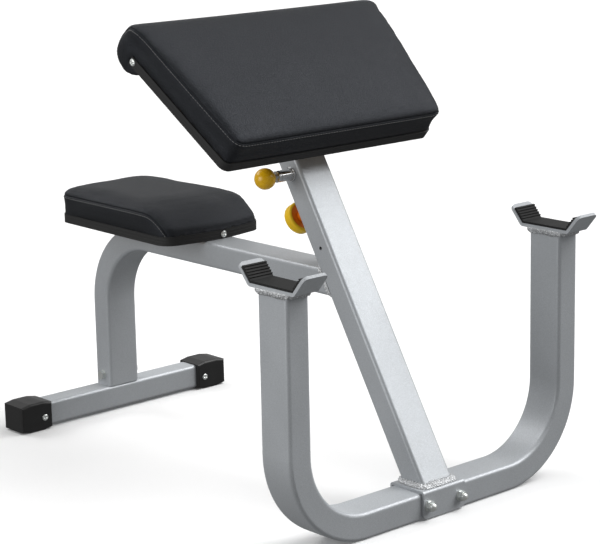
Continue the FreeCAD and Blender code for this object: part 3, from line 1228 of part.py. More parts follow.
def make_clamp():
    """The nut on the post's back, the shoe and screw in it, and the hollow round hand knob."""

    def bar(name, radius, length, start):
        """A round bar on the clamp's axis; start is how far it begins behind the post's axis."""
        return rod(name, radius, length, ("0", start, "clamp_height"), "y")

    def rim(start):
        """The centre of a rim on the clamp's axis."""
        return Vector(0, number(start), number("clamp_height"))

    nut_body = bar("clamp_nut_body", "clamp_nut_radius", "clamp_nut_length", POST_BACK)
    nut_rim, nut_size = rim(f"{POST_BACK} + clamp_nut_length"), number("clamp_nut_radius")
    is_nut_rim = lambda edge: is_ring(edge, nut_rim, nut_size)
    round_nut = fillet("clamp_nut_round", nut_body, "clamp_edge", is_nut_rim)
    bore = bar("clamp_nut_bore", SCREW_WAY, "clamp_nut_length + 2 * overrun", f"{POST_BACK} - overrun")
    node("clamp_nut", on_post(cut("clamp_nut_cut", round_nut, [bore])))
    shoe = bar("clamp_shoe_body", "clamp_radius", "shoe_length", SHOE_FRONT)
    node("clamp_shoe", on_post(group("clamp_shoe_group", [shoe])))
    screw_end = f"({KNOB_START} + knob_hub + knob_recess)"
    screw = bar("clamp_screw_body", "clamp_radius", f"{screw_end} - {SCREW_FRONT}", SCREW_FRONT)
    node("clamp_screw", on_post(group("clamp_screw_group", [screw])))
    rim_start = f"({KNOB_START} + knob_hub)"
    disc = bar("knob_disc", "knob_radius", "knob_width", rim_start)
    rims, size = [rim(rim_start), rim(f"{rim_start} + knob_width")], number("knob_radius")
    is_knob_rim = lambda edge: any(is_ring(edge, centre, size) for centre in rims)
    round_disc = fillet("knob_round", disc, "knob_edge", is_knob_rim)
    inside = "knob_radius - knob_wall"
    hollow = bar("knob_hollow", inside, "knob_recess + overrun", f"{rim_start} - overrun")
    hub = bar("knob_hub_body", "knob_hub_radius", "knob_hub + knob_recess + knob_edge", KNOB_START)
    shell = join("knob_solid", [cut("knob_shell", round_disc, [hollow]), hub])
    depth = f"{screw_end} - {KNOB_START} + overrun + thread_gap"
    socket = bar("knob_socket", SCREW_WAY, depth, f"{KNOB_START} - overrun")
    node("hand_knob", on_post(cut("hand_knob_cut", shell, [socket])))


def check_document():
    """Stops if any object failed or a piece isn't a valid solid."""
    doc.recompute()
    for thing in doc.Objects:
        if "Invalid" in thing.State or "Error" in thing.State:
            raise RuntimeError(f"{thing.Name} failed: {thing.State}")
    for name, thing in nodes.items():
        if thing.Shape.isNull() or not thing.Shape.isValid() or not thing.Shape.Solids:
            raise RuntimeError(f"{name} has no valid solid")
        if thing.Label != name:
            raise RuntimeError(f"{name} is labelled {thing.Label}")


def write_parts():
    os.makedirs("parts", exist_ok=True)
    for name, thing in nodes.items():
        thing.Shape.exportStep(f"parts/{name}.step")


make_rack_frame()
make_cradles()
make_saddle()
make_post()
make_seat_beam()
make_foot()
make_seat()
make_pad_tube()
make_pad_bracket()
make_arm_pad()
make_pull_pin()
make_clamp()
check_document()
write_parts()
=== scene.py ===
"""Dresses a preacher curl bench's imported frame: cushions, seams, welds, screws and finishes. In metres."""

import json
import math

import bmesh
import bpy
import numpy as np
from mathutils import Matrix, Vector
from mathutils.bvhtree import BVHTree


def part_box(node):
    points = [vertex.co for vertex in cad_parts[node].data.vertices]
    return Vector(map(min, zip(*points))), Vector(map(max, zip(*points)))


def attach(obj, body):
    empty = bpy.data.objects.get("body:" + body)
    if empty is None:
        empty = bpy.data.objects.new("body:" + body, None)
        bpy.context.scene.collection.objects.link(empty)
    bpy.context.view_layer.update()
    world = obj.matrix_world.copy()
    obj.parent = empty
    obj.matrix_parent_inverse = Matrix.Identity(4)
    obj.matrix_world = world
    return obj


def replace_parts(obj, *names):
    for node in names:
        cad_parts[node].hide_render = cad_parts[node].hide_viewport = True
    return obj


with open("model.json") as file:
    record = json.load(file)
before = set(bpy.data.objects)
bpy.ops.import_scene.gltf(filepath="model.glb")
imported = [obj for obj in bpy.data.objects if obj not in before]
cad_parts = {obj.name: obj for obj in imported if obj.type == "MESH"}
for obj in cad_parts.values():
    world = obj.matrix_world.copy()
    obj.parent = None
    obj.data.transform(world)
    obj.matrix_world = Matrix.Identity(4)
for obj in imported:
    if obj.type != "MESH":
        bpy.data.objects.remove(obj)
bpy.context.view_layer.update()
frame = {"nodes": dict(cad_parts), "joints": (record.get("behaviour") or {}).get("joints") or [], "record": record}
nodes = frame["nodes"]

# Driving sizes of the frame
MM = 0.001
TUBE_WIDTH = 75 * MM
TUBE_DEPTH = 50 * MM
TUBE_CORNER = 7 * MM
SADDLE_TOP = 55 * MM
CLAMP_HEIGHT = 547.5 * MM
CLAMP_NUT_RADIUS = 13 * MM
KNOB_HOLLOW = 24.5 * MM
PIN_HEIGHT = 615 * MM

# Driving sizes of the arm pad and the seat
PAD_SLOPE = math.radians(40.9)
PAD_FLARE = math.radians(8.7)
PAD_HALF = 254.5 * MM
PAD_LENGTH = 276 * MM
PAD_BOARD = 18 * MM
PAD_PANEL = 51 * MM
PAD_CORNER = 18 * MM
PAD_SCREW_INSET = 8 * MM
RIB_PITCH = 6 * MM
ROLL_CENTRE = 287 * MM
ROLL_HEIGHT = 20 * MM
SEAT_PANEL = 40 * MM
SEAT_TAPER = 20 * MM
SEAT_REAR_CORNER = 28 * MM
SEAT_WATERFALL = 80 * MM

# Cushions: cell of the remesh, draw-in before the cover swells, and the most that a point moves
PAD_CELL = 5.6 * MM
SEAT_CELL = 4 * MM
DRAW_IN = 1.5 * MM
COVER_PRESSURE = 2
SWELL_CAP = 4 * MM
SWELL_FRAMES = 20
SWELL_ROUNDS = 24
FORM_ROUNDS = 6
PLUMP = 3 * MM
MERGE_GAP = 0.01 * MM

HELD_BAND = 1.2 * MM
HELD_FADE = 12 * MM
PINNED = 0.01
TUCK = 3 * MM

# Routes of the seams: shares of the side panels and of the seat's sloping front, and the seat seam's ends
PANEL_SHARE = 0.97
SEAT_LOW_SHARE = 0.1
SEAT_BEND_SHARE = 0.85
SEAT_SEAM_INSET = 9 * MM
SEAT_SEAM_START = 24 * MM

# Seams: groove, gathers beside it, and the row of stitches on the side panel
SEAM_STEP = 1.5 * MM
SEAM_DEPTH = 1.8 * MM
SEAM_WIDTH = 1.5 * MM
SEAM_BAND = 5 * MM
SEAM_CUTS = 2
SEAM_ROUNDS = 3
EVEN_ROUNDS = 60
SEARCH_PARTS = 40
GATHER_HEIGHT = 0.2 * MM
GATHER_PITCH = 17 * MM
GATHER_REACH = 14 * MM
GATHER_SHIFT = 1.7
GATHER_SHIFT_TURNS = 3.7
GATHER_FADE_TURNS = 5.3
GATHER_FADE_START = 0.6
STITCH_OFFSET = 4.6 * MM
STITCH_PITCH = 6.5 * MM
STITCH_LENGTH = 4.8 * MM
THREAD_RADIUS = 0.7 * MM
THREAD_SINK = 1.0 * MM

# Weld beads: legs, steps, how full the curve across them is, and the shares of the leg that shape a coin
FOOT_WELD = 9.5 * MM
CRADLE_WELD = 9 * MM
BEAM_WELD = 6 * MM
NUT_WELD = 3.5 * MM
WELD_STEP = 1.1 * MM
WELD_PITCH = 5.5 * MM
WELD_BOW = 0.75
CRADLE_BOW = 0.9
CRADLE_LEDGE_SHARE = 0.45
GROOVE_BOW = 0.6
COIN_LOW_SHARE = 0.82
COIN_RISE_SHARE = 0.36
COIN_POWER = 1.6
COIN_CURVE = 0.5
WANDER_SHARE = 0.06
WANDER_WAVES = 5
ROOT_SHARE = 0.3

# Small screws: the dome, and shares of the head's radius and height for its cross recess
SCREW_RADIUS = 6.9 * MM
SCREW_HEAD = 2.6 * MM
SCREW_SHANK = 1.8 * MM
SCREW_LENGTH = 11 * MM
DOME_POWER = 2.4
DOME_ROUND = 0.55
MIDDLE_SHARE = 0.02
RECESS_HALF_SHARE = 0.17
RECESS_REACH_SHARE = 0.62
RECESS_DEPTH_SHARE = 0.55

# The pin barrel's collar and the knob's face
COLLAR_BORE = 11.1 * MM
COLLAR_RADIUS = 13.5 * MM
COLLAR_LENGTH = 4.5 * MM
FACE_BORE = 12.2 * MM
FACE_RADIUS = 24.8 * MM
FACE_START = 57 * MM
FACE_LENGTH = 4 * MM
RING_ROUND = 0.9 * MM

# Points along curves
ARC_POINTS = 9
ROLL_POINTS = 25
FALL_POINTS = 12
CORNER_POINTS = 7
THREAD_RINGS = 5
THREAD_SIDES = 6
BEAD_POINTS = 9
NUT_POINTS = 24
HEAD_POINTS = 40
HEAD_RINGS = 20
RING_POINTS = 48

# The camera that was fitted to the photograph, whose frame is 600 by 544 pixels
IMAGE_WIDTH = 600
FOCAL_PIXELS = 2041
SENSOR_WIDTH = 36
CAMERA_AZIMUTH = math.radians(-41.6)
CAMERA_PITCH = math.radians(12.98)
CAMERA_ROLL = math.radians(-1.15)
CAMERA_DISTANCE = 3.608
AIM_ACROSS = -0.2233
AIM_HEIGHT = 0.4467

# Lights: the direction, spread in degrees and strength of each far one, and the soft fill from the left
ROOM_STRENGTH = 0.22
FAR_LIGHTS = {
    "front_right": ((-0.6, 0.4, -0.69), 50, 2.75),
    "overhead": ((-0.1, -0.1, -1.0), 80, 0.7),
    "behind": ((0.22, -0.73, -0.65), 34, 0.9),
    "far_right": ((-0.65, -0.73, -0.25), 40, 0.16),
}
FILL_PLACE = (-2.6, 0.6, 0.9)
FILL_AIM = (0, 0.4, 0.4)
FILL_SIZE = 1.6
FILL_WATTS = 28
FLOOR_REACH = 400

# Colours of the room and of the finishes that aren't grey, and half the blend between the knob's yellow rim and
# the orange of its face, which is painted shade
KNOB_BLEND = 1.5 * MM
WHITE = (1.0, 1.0, 1.0, 1.0)
VINYL_GLINT = (0.80, 0.86, 1.0, 1.0)
ZINC_BLUE = (0.68, 0.73, 0.76, 1.0)
ZINC_STRAW = (0.82, 0.82, 0.75, 1.0)
DARK_OCHRE = (0.71, 0.34, 0.002, 1.0)
LIGHT_OCHRE = (0.96, 0.60, 0.006, 1.0)
# Orange of the knob's face inside the rim: painted shade on the knob's yellow plastic
DEEP_SHADE_ORANGE = (0.80, 0.16, 0.004, 1.0)
PALE_SHADE_ORANGE = (0.95, 0.28, 0.01, 1.0)
DARK_YELLOW = (0.86, 0.50, 0.01, 1.0)
LIGHT_YELLOW = (0.98, 0.66, 0.03, 1.0)
DARK_VENEER = (0.33, 0.21, 0.11, 1.0)
PALE_VENEER = (0.58, 0.43, 0.26, 1.0)

# Plywood: how the veneer's grain is drawn out, and its streaks and pores in that drawn-out measure
GRAIN_STRETCH = (1.2, 30.0, 30.0)
STREAK_SIZE = 1 / 9
PORE_SIZE = 1 / 60

# Sockets of the Mix node that carry colours
MIX_SHARE = 0
MIX_FIRST = 6
MIX_SECOND = 7
MIX_RESULT = 2

ACROSS = np.array((1.0, 0.0, 0.0))
BACKWARD = np.array((0.0, 1.0, 0.0))
UPWARD = np.array((0.0, 0.0, 1.0))
MIRROR = np.array((-1, 1, 1))

# The post leans along the arm pad's slide, and its foot stands on the saddle over the frame's origin
POST_UP = np.array(next(joint["axis"] for joint in frame["joints"] if joint["name"] == "pad_slide"))
POST_BACK = np.array((0.0, POST_UP[2], -POST_UP[1]))
POST_FOOT = SADDLE_TOP * UPWARD
CLAMP_CENTRE = POST_FOOT + CLAMP_HEIGHT * POST_UP
PIN_CENTRE = POST_FOOT + PIN_HEIGHT * POST_UP

# The arm pad's own axes: across, up the slope and out of the board, from the trim's lower edge
PAD_UP = np.array((0.0, math.cos(PAD_SLOPE), math.sin(PAD_SLOPE)))
PAD_OUT = np.array((0.0, -math.sin(PAD_SLOPE), math.cos(PAD_SLOPE)))
PAD_AXES = np.array((ACROSS, PAD_UP, PAD_OUT))
PAD_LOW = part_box("pad_trim")[0]
PAD_ORIGIN = np.array((0.0, PAD_LOW.y + PAD_BOARD * math.sin(PAD_SLOPE), PAD_LOW.z))
SEAT_LOW, SEAT_HIGH = (np.array(corner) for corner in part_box("seat_trim"))
SEAT_TOP = SEAT_HIGH[2]


def on_pad(points):
    """Points given across, up the slope and out of the pad's board, in the frame."""
    return PAD_ORIGIN + np.asarray(points) @ PAD_AXES


def off_pad(points):
    """Points of the frame, given across, up the slope and out of the pad's board."""
    return (np.asarray(points) - PAD_ORIGIN) @ PAD_AXES.T


# Camera, light and floor


def make_camera():
    """The fitted camera: behind its aim by the distance, turned by azimuth, pitch and roll."""
    swing, pitch, roll = CAMERA_AZIMUTH, CAMERA_PITCH, CAMERA_ROLL
    back = Vector((math.sin(swing) * math.cos(pitch), -math.cos(swing) * math.cos(pitch), math.sin(pitch)))
    level = Vector((math.cos(swing), math.sin(swing), 0))
    upright = back.cross(level)
    right = math.cos(roll) * level + math.sin(roll) * upright
    up = math.cos(roll) * upright - math.sin(roll) * level
    aim = level * AIM_ACROSS + Vector((0, 0, AIM_HEIGHT))
    data = bpy.data.cameras.new("photo_camera")
    data.sensor_fit = "HORIZONTAL"
    data.sensor_width = SENSOR_WIDTH
    data.lens = FOCAL_PIXELS / IMAGE_WIDTH * SENSOR_WIDTH
    camera = bpy.data.objects.new("photo_camera", data)
    turn = Matrix((right, up, back)).transposed().to_4x4()
    camera.matrix_world = Matrix.Translation(aim + back * CAMERA_DISTANCE) @ turn
    bpy.context.scene.collection.objects.link(camera)
    bpy.context.scene.camera = camera


def set_light(data, direction):
    """A lamp that shines along a direction."""
    lamp = bpy.data.objects.new(data.name, data)
    lamp.rotation_euler = direction.to_track_quat("-Z", "Y").to_euler()
    bpy.context.scene.collection.objects.link(lamp)
    return lamp


def add_far_light(name, direction, spread, strength):
    """A far light as wide as its spread, which shines evenly along a direction."""
    data = bpy.data.lights.new(name, "SUN")
    data.angle = math.radians(spread)
    data.energy = strength
    set_light(data, Vector(direction))


def add_fill():
    """A square soft light on the left that faces its aim."""
    data = bpy.data.lights.new("left_fill", "AREA")
    data.shape = "SQUARE"
    data.size = FILL_SIZE
    data.energy = FILL_WATTS
    lamp = set_light(data, Vector(FILL_AIM) - Vector(FILL_PLACE))
    lamp.location = FILL_PLACE


def make_room():
    """A dim room, soft light from the front right, weaker light from above and behind, a low gleam from
    the far right and a fill from the left."""
    world = bpy.data.worlds.new("dim_room")
    world.use_nodes = True
    background = world.node_tree.nodes["Background"]
    background.inputs["Color"].default_value = WHITE
    background.inputs["Strength"].default_value = ROOM_STRENGTH
    bpy.context.scene.world = world
    bpy.context.scene.view_settings.view_transform = "Standard"
    for name, light in FAR_LIGHTS.items():
        add_far_light(name, *light)
    add_fill()


def make_floor():
    """A pale floor out to the horizon that throws no light back on the bench."""
    mesh = bpy.data.meshes.new("floor")
    corners = np.array(((-1, -1, 0), (1, -1, 0), (1, 1, 0), (-1, 1, 0))) * FLOOR_REACH
    mesh.from_pydata(corners.tolist(), [], [(0, 1, 2, 3)])
    mesh.materials.append(pale_floor())
    floor = bpy.data.objects.new("floor", mesh)
    bpy.context.scene.collection.objects.link(floor)
    floor.visible_diffuse = False
    floor.visible_glossy = False


# Finishes


class Wire:
    """A socket of a finish. Sums and products of wires and numbers add Math nodes to the finish."""

    def __init__(self, finish, socket):
        self.finish = finish
        self.socket = socket

    def math(self, operation, *values):
        """A Math node of an operation on values."""
        return self.finish.add("Math", {"operation": operation}, dict(enumerate(values)))

    def __add__(self, other):
        return self.math("ADD", self, other)

    def __sub__(self, other):
        return self.math("SUBTRACT", self, other)

    def __rsub__(self, other):
        return self.math("SUBTRACT", other, self)

    def __mul__(self, other):
        return self.math("MULTIPLY", self, other)

    __radd__ = __add__
    __rmul__ = __mul__

    def sine(self):
        """The sine of an angle."""
        return self.math("SINE", self)

    def band(self, low, high):
        """0 below low, 1 above high, and a smooth rise between them."""
        limits = {"Value": self, "From Min": low, "From Max": high}
        return self.finish.add("MapRange", {"interpolation_type": "SMOOTHSTEP"}, limits)


class Finish:
    """A material with one surface shader, to which nodes are added by a single method."""

    def __init__(self, name, **constants):
        self.material = bpy.data.materials.new(name)
        self.material.use_nodes = True
        self.tree = self.material.node_tree
        self.surface = self.tree.nodes["Principled BSDF"]
        self.place = self.add("TexCoord", {}, {}, "Object")
        self.feed({socket.replace("_", " "): value for socket, value in constants.items()})

    def add(self, kind, settings, inputs, output=0):
        """A new node: its settings first, then the value or link of each socket. Gives one of its
        outputs."""
        node = self.tree.nodes.new("ShaderNode" + kind)
        for name, value in settings.items():
            setattr(node, name, value)
        self.fill(node, inputs)
        return Wire(self, node.outputs[output])

    def fill(self, node, inputs):
        """Sets each socket of a node to its value, or links it to its wire."""
        for key, value in inputs.items():
            if isinstance(value, Wire):
                self.tree.links.new(value.socket, node.inputs[key])
            else:
                node.inputs[key].default_value = value

    def feed(self, inputs):
        """Sets or links sockets of the surface shader."""
        self.fill(self.surface, inputs)

    def noise(self, size, detail=2.0, place=None, distortion=0.0, output=0):
        """Cloudy noise from 0 to 1, whose lumps are about a size across."""
        inputs = {
            "Vector": place or self.place,
            "Scale": 1 / size,
            "Detail": detail,
            "Distortion": distortion,
        }
        return self.add("TexNoise", {}, inputs, output)

    def cells(self, size, feature="F1", output="Distance", place=None):
        """A cell pattern, whose cells are about a size across."""
        inputs = {"Vector": place or self.place, "Scale": 1 / size}
        return self.add("TexVoronoi", {"feature": feature}, inputs, output)

    def vector(self, operation, inputs, output="Vector"):
        """A Vector Math node of an operation on its inputs."""
        return self.add("VectorMath", {"operation": operation}, inputs, output)

    def stretched(self, scale, turn=(0, 0, 0)):
        """The place on the piece, turned and scaled along each axis."""
        return self.add("Mapping", {}, {"Vector": self.place, "Rotation": turn, "Scale": scale})

    def mix(self, share, first, second):
        """A colour between two, by a share."""
        inputs = {MIX_SHARE: share, MIX_FIRST: first, MIX_SECOND: second}
        return self.add("Mix", {"data_type": "RGBA"}, inputs, MIX_RESULT)

    def bump(self, height, depth, strength):
        """Relief on the surface: a height from 0 to 1 over a depth."""
        inputs = {"Height": height, "Distance": depth, "Strength": strength}
        self.feed({"Normal": self.add("Bump", {}, inputs)})


def grey(level, tint=0.0):
    """A neutral colour, a little bluer by a tint."""
    return (level * (1 - tint), level, level * (1 + tint), 1.0)


def pale_floor():
    """Seamless paper: almost white, with a faint mottle."""
    finish = Finish("pale_paper", Roughness=0.9, Specular_IOR_Level=0.1)
    mottle = finish.noise(size=0.3)
    finish.feed({"Base Color": finish.mix(mottle, grey(0.93), grey(0.96))})
    return finish.material


def silver_paint(name, metal, dullness):
    """Silver powder coat: metal flakes of about half a millimetre, orange peel and a slow drift of tone."""
    finish = Finish(name, IOR=1.5)
    flakes = finish.add("SeparateColor", {}, {0: finish.cells(size=0.55 * MM, output="Color")})
    speckle = finish.noise(size=1.3 * MM)
    drift = finish.noise(size=90 * MM)
    peel = finish.noise(size=2.6 * MM)
    tone = 0.5 * flakes + 0.3 * speckle + 0.2 * drift
    finish.feed({"Base Color": finish.mix(tone.band(0.15, 0.95), grey(0.40, 0.045), grey(0.60, 0.045))})
    finish.feed({"Metallic": metal * (0.35 + flakes)})
    finish.feed({"Roughness": dullness - 0.14 * flakes + 0.06 * drift})
    finish.bump(peel + 0.35 * speckle, depth=0.05 * MM, strength=0.6)
    return finish.material


def weld_paint():
    """The same coat over the rough skin of a weld bead, with painted highlights: near white on its lumps."""
    finish = Finish("painted_weld", IOR=1.5)
    spatter = finish.cells(size=3.4 * MM)
    speckle = finish.noise(size=1.2 * MM)
    lumps_and_highlights = (1 - spatter).band(0.3, 0.9)
    tone = 0.75 * lumps_and_highlights + 0.25 * speckle
    # Painted highlight: the lumps' colour rises to near white where light would catch them, and the same lumps
    # raise the bump
    finish.feed({"Base Color": finish.mix(tone, grey(0.40, 0.02), grey(0.95, 0.02))})
    finish.feed({"Metallic": 0.25 + 0.3 * speckle, "Roughness": 0.40 + 0.2 * speckle})
    finish.bump(lumps_and_highlights + 0.3 * speckle, depth=0.9 * MM, strength=0.9)
    return finish.material


def black_paint():
    """Black powder coat with a fine leathery texture."""
    finish = Finish("black_powder_coat", IOR=1.5)
    texture = finish.cells(size=1.1 * MM, feature="SMOOTH_F1")
    drift = finish.noise(size=40 * MM)
    finish.feed({"Base Color": finish.mix(drift, grey(0.018), grey(0.03))})
    finish.feed({"Roughness": 0.45 + 0.25 * texture})
    finish.bump(texture, depth=0.12 * MM, strength=0.5)
    return finish.material


def vinyl():
    """Upholstery vinyl: creases between grains under two millimetres, wider pebbles under them, fine pores,
    and patches worn a little smoother. The grains' places wander by a noise, so that no crease is
    straight."""
    finish = Finish("grained_vinyl", IOR=1.5, Specular_IOR_Level=0.36, Specular_Tint=VINYL_GLINT)
    wander = finish.noise(size=3 * MM, output="Color")
    push = finish.vector("SCALE", {0: wander, "Scale": 0.9 * MM})
    place = finish.vector("ADD", {0: finish.place, 1: push})
    creases = finish.cells(size=1.7 * MM, feature="DISTANCE_TO_EDGE", place=place).band(0.0, 0.22)
    pebbles = finish.noise(size=3.6 * MM)
    patches = finish.noise(size=70 * MM, detail=3.0)
    pores = finish.noise(size=0.5 * MM)
    tone = 0.45 * creases + 0.25 * pebbles + 0.3 * patches
    finish.feed({"Base Color": finish.mix(tone, grey(0.003, 0.05), grey(0.010, 0.06))})
    finish.feed({"Roughness": 0.50 - 0.12 * creases + 0.10 * patches + 0.08 * pores})
    finish.bump(0.5 * creases + 1.2 * pebbles + 0.1 * pores, depth=0.5 * MM, strength=0.8)
    return finish.material


def stitch_thread():
    """Twisted polyester thread, grey with a slight sheen."""
    finish = Finish("stitch_thread", Sheen_Weight=0.2)
    twist = finish.noise(size=0.5 * MM, detail=1.0)
    finish.feed({"Base Color": finish.mix(twist, grey(0.08), grey(0.18))})
    finish.feed({"Roughness": 0.45 + 0.25 * twist})
    finish.bump(twist, depth=0.1 * MM, strength=0.5)
    return finish.material


def trim_plastic(name, out):
    """Extruded edge strip: dark plastic with shallow ribs along it, fine pebbling and a scuffed tone. The
    ribs are a sine of the height along the way out of the board."""
    finish = Finish(name, IOR=1.46, Specular_IOR_Level=0.35)
    height = finish.vector("DOT_PRODUCT", {0: finish.place, 1: tuple(out)}, "Value")
    ribs = (height * (2 * math.pi / RIB_PITCH)).sine().band(0.2, 1.0)
    pebbles = finish.noise(size=0.9 * MM)
    scuffs = finish.noise(size=30 * MM, detail=4.0, place=finish.stretched((0.4, 0.4, 3.0)))
    finish.feed({"Base Color": finish.mix(0.5 * pebbles + 0.5 * scuffs, grey(0.014), grey(0.034))})
    finish.feed({"Roughness": 0.48 + 0.2 * scuffs + 0.08 * pebbles})
    finish.bump(0.2 * pebbles - ribs, depth=0.5 * MM, strength=0.6)
    return finish.material


def rubber(name, dullness, shine):
    """Moulded black rubber: a skin with bloom in clouds, fine mould texture and slow ripples."""
    finish = Finish(name, IOR=1.5, Specular_IOR_Level=shine)
    bloom = finish.noise(size=25 * MM, detail=4.0)
    skin = finish.noise(size=0.8 * MM)
    ripples = finish.noise(size=5 * MM)
    finish.feed({"Base Color": finish.mix(0.75 * bloom + 0.25 * skin, grey(0.004), grey(0.014))})
    finish.feed({"Roughness": dullness + 0.2 * bloom + 0.1 * skin})
    finish.bump(skin + 0.6 * ripples, depth=0.12 * MM, strength=0.5)
    return finish.material


def black_plastic():
    """Injection-moulded black plastic with a spark-eroded texture."""
    finish = Finish("moulded_black_plastic", IOR=1.46)
    texture = finish.noise(size=0.6 * MM)
    finish.feed({"Base Color": finish.mix(texture, grey(0.012), grey(0.026))})
    finish.feed({"Roughness": 0.42 + 0.2 * texture})
    finish.bump(texture, depth=0.07 * MM, strength=0.5)
    return finish.material


def zinc_plate():
    """Bright zinc plating: clouds of blue and straw under a fine frosting."""
    finish = Finish("bright_zinc", IOR=1.8)
    clouds = finish.noise(size=5 * MM, detail=3.0)
    frost = finish.noise(size=0.4 * MM)
    finish.feed({"Base Color": finish.mix(clouds, ZINC_BLUE, ZINC_STRAW)})
    finish.feed({"Metallic": 0.7 + 0.25 * frost, "Roughness": 0.24 + 0.14 * clouds + 0.1 * frost})
    finish.bump(frost, depth=0.03 * MM, strength=0.4)
    return finish.material


def chrome():
    """Chrome over drawn steel: nearly a mirror, with faint lines along the length and hazy patches."""
    finish = Finish("drawn_chrome", Metallic=1.0)
    lines = finish.noise(size=1.2 * MM, place=finish.stretched((0.06, 1.0, 1.0)))
    haze = finish.noise(size=14 * MM, detail=3.0)
    finish.feed({"Base Color": finish.mix(haze, grey(0.62, 0.01), grey(0.80, 0.01))})
    finish.feed({"Roughness": 0.10 + 0.1 * haze + 0.08 * lines})
    finish.bump(lines, depth=0.02 * MM, strength=0.4)
    return finish.material


def ball_plastic():
    """Glossy ochre plastic with the faint swirl of its moulding."""
    finish = Finish("ochre_ball", IOR=1.5, Coat_Roughness=0.08, Coat_Weight=0.15)
    swirl = finish.noise(size=14 * MM, distortion=1.6)
    speck = finish.noise(size=0.8 * MM)
    ripples = finish.noise(size=2.5 * MM)
    finish.feed({"Base Color": finish.mix(swirl + 0.2 * speck, DARK_OCHRE, LIGHT_OCHRE)})
    finish.feed({"Roughness": 0.2 + 0.14 * swirl})
    finish.bump(ripples, depth=0.04 * MM, strength=0.4)
    return finish.material


def knob_plastic():
    """Hand knob: the rim yellow and the face inside it orange as painted shade, by the distance from the screw's
    axis.
    """
    finish = Finish("yellow_knob_painted_shade", IOR=1.45, Specular_IOR_Level=0.3)
    axis = tuple(POST_BACK)
    arm = finish.vector("SUBTRACT", {0: finish.place, 1: tuple(CLAMP_CENTRE)})
    along = finish.vector("DOT_PRODUCT", {0: arm, 1: axis}, "Value")
    shadow = finish.vector("SCALE", {0: axis, "Scale": along})
    spoke = finish.vector("SUBTRACT", {0: arm, 1: shadow})
    radius = finish.vector("LENGTH", {0: spoke}, "Value")
    rim = radius.band(KNOB_HOLLOW - KNOB_BLEND, KNOB_HOLLOW + KNOB_BLEND)
    mottle = finish.noise(size=6 * MM, detail=3.0)
    ripples = finish.noise(size=1.5 * MM)
    # Painted shade: the face inside the rim is coloured a darker orange than the yellow rim
    face = finish.mix(mottle, DEEP_SHADE_ORANGE, PALE_SHADE_ORANGE)
    edge = finish.mix(mottle, DARK_YELLOW, LIGHT_YELLOW)
    finish.feed({"Base Color": finish.mix(rim, face, edge)})
    finish.feed({"Roughness": 0.36 + 0.16 * mottle})
    finish.bump(ripples, depth=0.04 * MM, strength=0.4)
    return finish.material


def plywood(name, slope):
    """Plywood faced with a pale veneer, its grain across the board, laid at a slope."""
    finish = Finish(name, IOR=1.45)
    along_grain = finish.stretched(GRAIN_STRETCH, (slope, 0, 0))
    grain = finish.noise(size=STREAK_SIZE, detail=6.0, place=along_grain, distortion=0.5)
    pores = finish.noise(size=PORE_SIZE, place=along_grain)
    finish.feed({"Base Color": finish.mix(grain, DARK_VENEER, PALE_VENEER)})
    finish.feed({"Roughness": 0.6 + 0.2 * pores})
    finish.bump(grain + 0.5 * pores, depth=0.15 * MM, strength=0.5)
    return finish.material


FINISHES = {
    "frame_paint": silver_paint("silver_powder_coat", metal=0.34, dullness=0.5),
    "bracket_paint": black_paint(),
    "vinyl": vinyl(),
    "edge_trim": trim_plastic("seat_edge_strip", UPWARD),
    "rubber": rubber("moulded_rubber", dullness=0.32, shine=0.5),
    "black_plastic": black_plastic(),
    "chrome": chrome(),
    "zinc": zinc_plate(),
    "ball_yellow": ball_plastic(),
    "knob_orange": knob_plastic(),
}
CRADLE_PAINT = silver_paint("worn_powder_coat", metal=0.06, dullness=0.66)
LINER_RUBBER = rubber("liner_rubber", dullness=0.58, shine=0.35)
OWN_FINISHES = {
    "seat_board": plywood("seat_plywood", 0),
    "pad_board": plywood("pad_plywood", -PAD_SLOPE),
    "pad_trim": trim_plastic("pad_edge_strip", PAD_OUT),
    "left_bar_cradle": CRADLE_PAINT,
    "right_bar_cradle": CRADLE_PAINT,
    "left_cradle_liner": LINER_RUBBER,
    "right_cradle_liner": LINER_RUBBER,
}
THREAD = stitch_thread()
WELD = weld_paint()


def dress_nodes():
    """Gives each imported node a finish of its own, or the finish of its material slot."""
    for part in frame["record"]["subparts"]:
        finish = OWN_FINISHES.get(part["node"]) or FINISHES[part["material_slot"]]
        nodes[part["node"]].material_slots[0].material = finish


# Pieces


def grid_faces(rows, columns, closed_rows):
    """Four-sided faces of a grid numbered row by row, whose columns close, and whose rows may close."""
    row = np.arange(rows if closed_rows else rows - 1)
    here, side = np.meshgrid(row, np.arange(columns), indexing="ij")
    ahead, next_side = (here + 1) % rows, (side + 1) % columns
    corners = ((here, side), (ahead, side), (ahead, next_side), (here, next_side))
    return np.stack([first * columns + second for first, second in corners], axis=-1).reshape(-1, 4)


def tube_faces(start, rows, columns, closed_rows):
    """Faces of a tube of rings, numbered from a start, with a lid on each end where it isn't a loop."""
    faces = (start + grid_faces(rows, columns, closed_rows)).tolist()
    if not closed_rows:
        end = start + rows * columns
        faces.append(list(range(start, start + columns)))
        faces.append(list(range(end - columns, end)))
    return faces


def add_piece(name, grids, finish, body, closed_rows=False):
    """One piece of several tubes, each a grid of points ring by ring, with its faces turned outwards."""
    points, faces = [], []
    start = 0
    for grid in grids:
        rows, columns = grid.shape[:2]
        points.append(grid.reshape(-1, 3))
        faces += tube_faces(start, rows, columns, closed_rows)
        start += rows * columns
    mesh = bpy.data.meshes.new(name)
    mesh.from_pydata(np.concatenate(points).tolist(), [], faces)
    form = bmesh.new()
    form.from_mesh(mesh)
    bmesh.ops.recalc_face_normals(form, faces=form.faces)
    form.to_mesh(mesh)
    form.free()
    return settle_piece(name, mesh, finish, body)


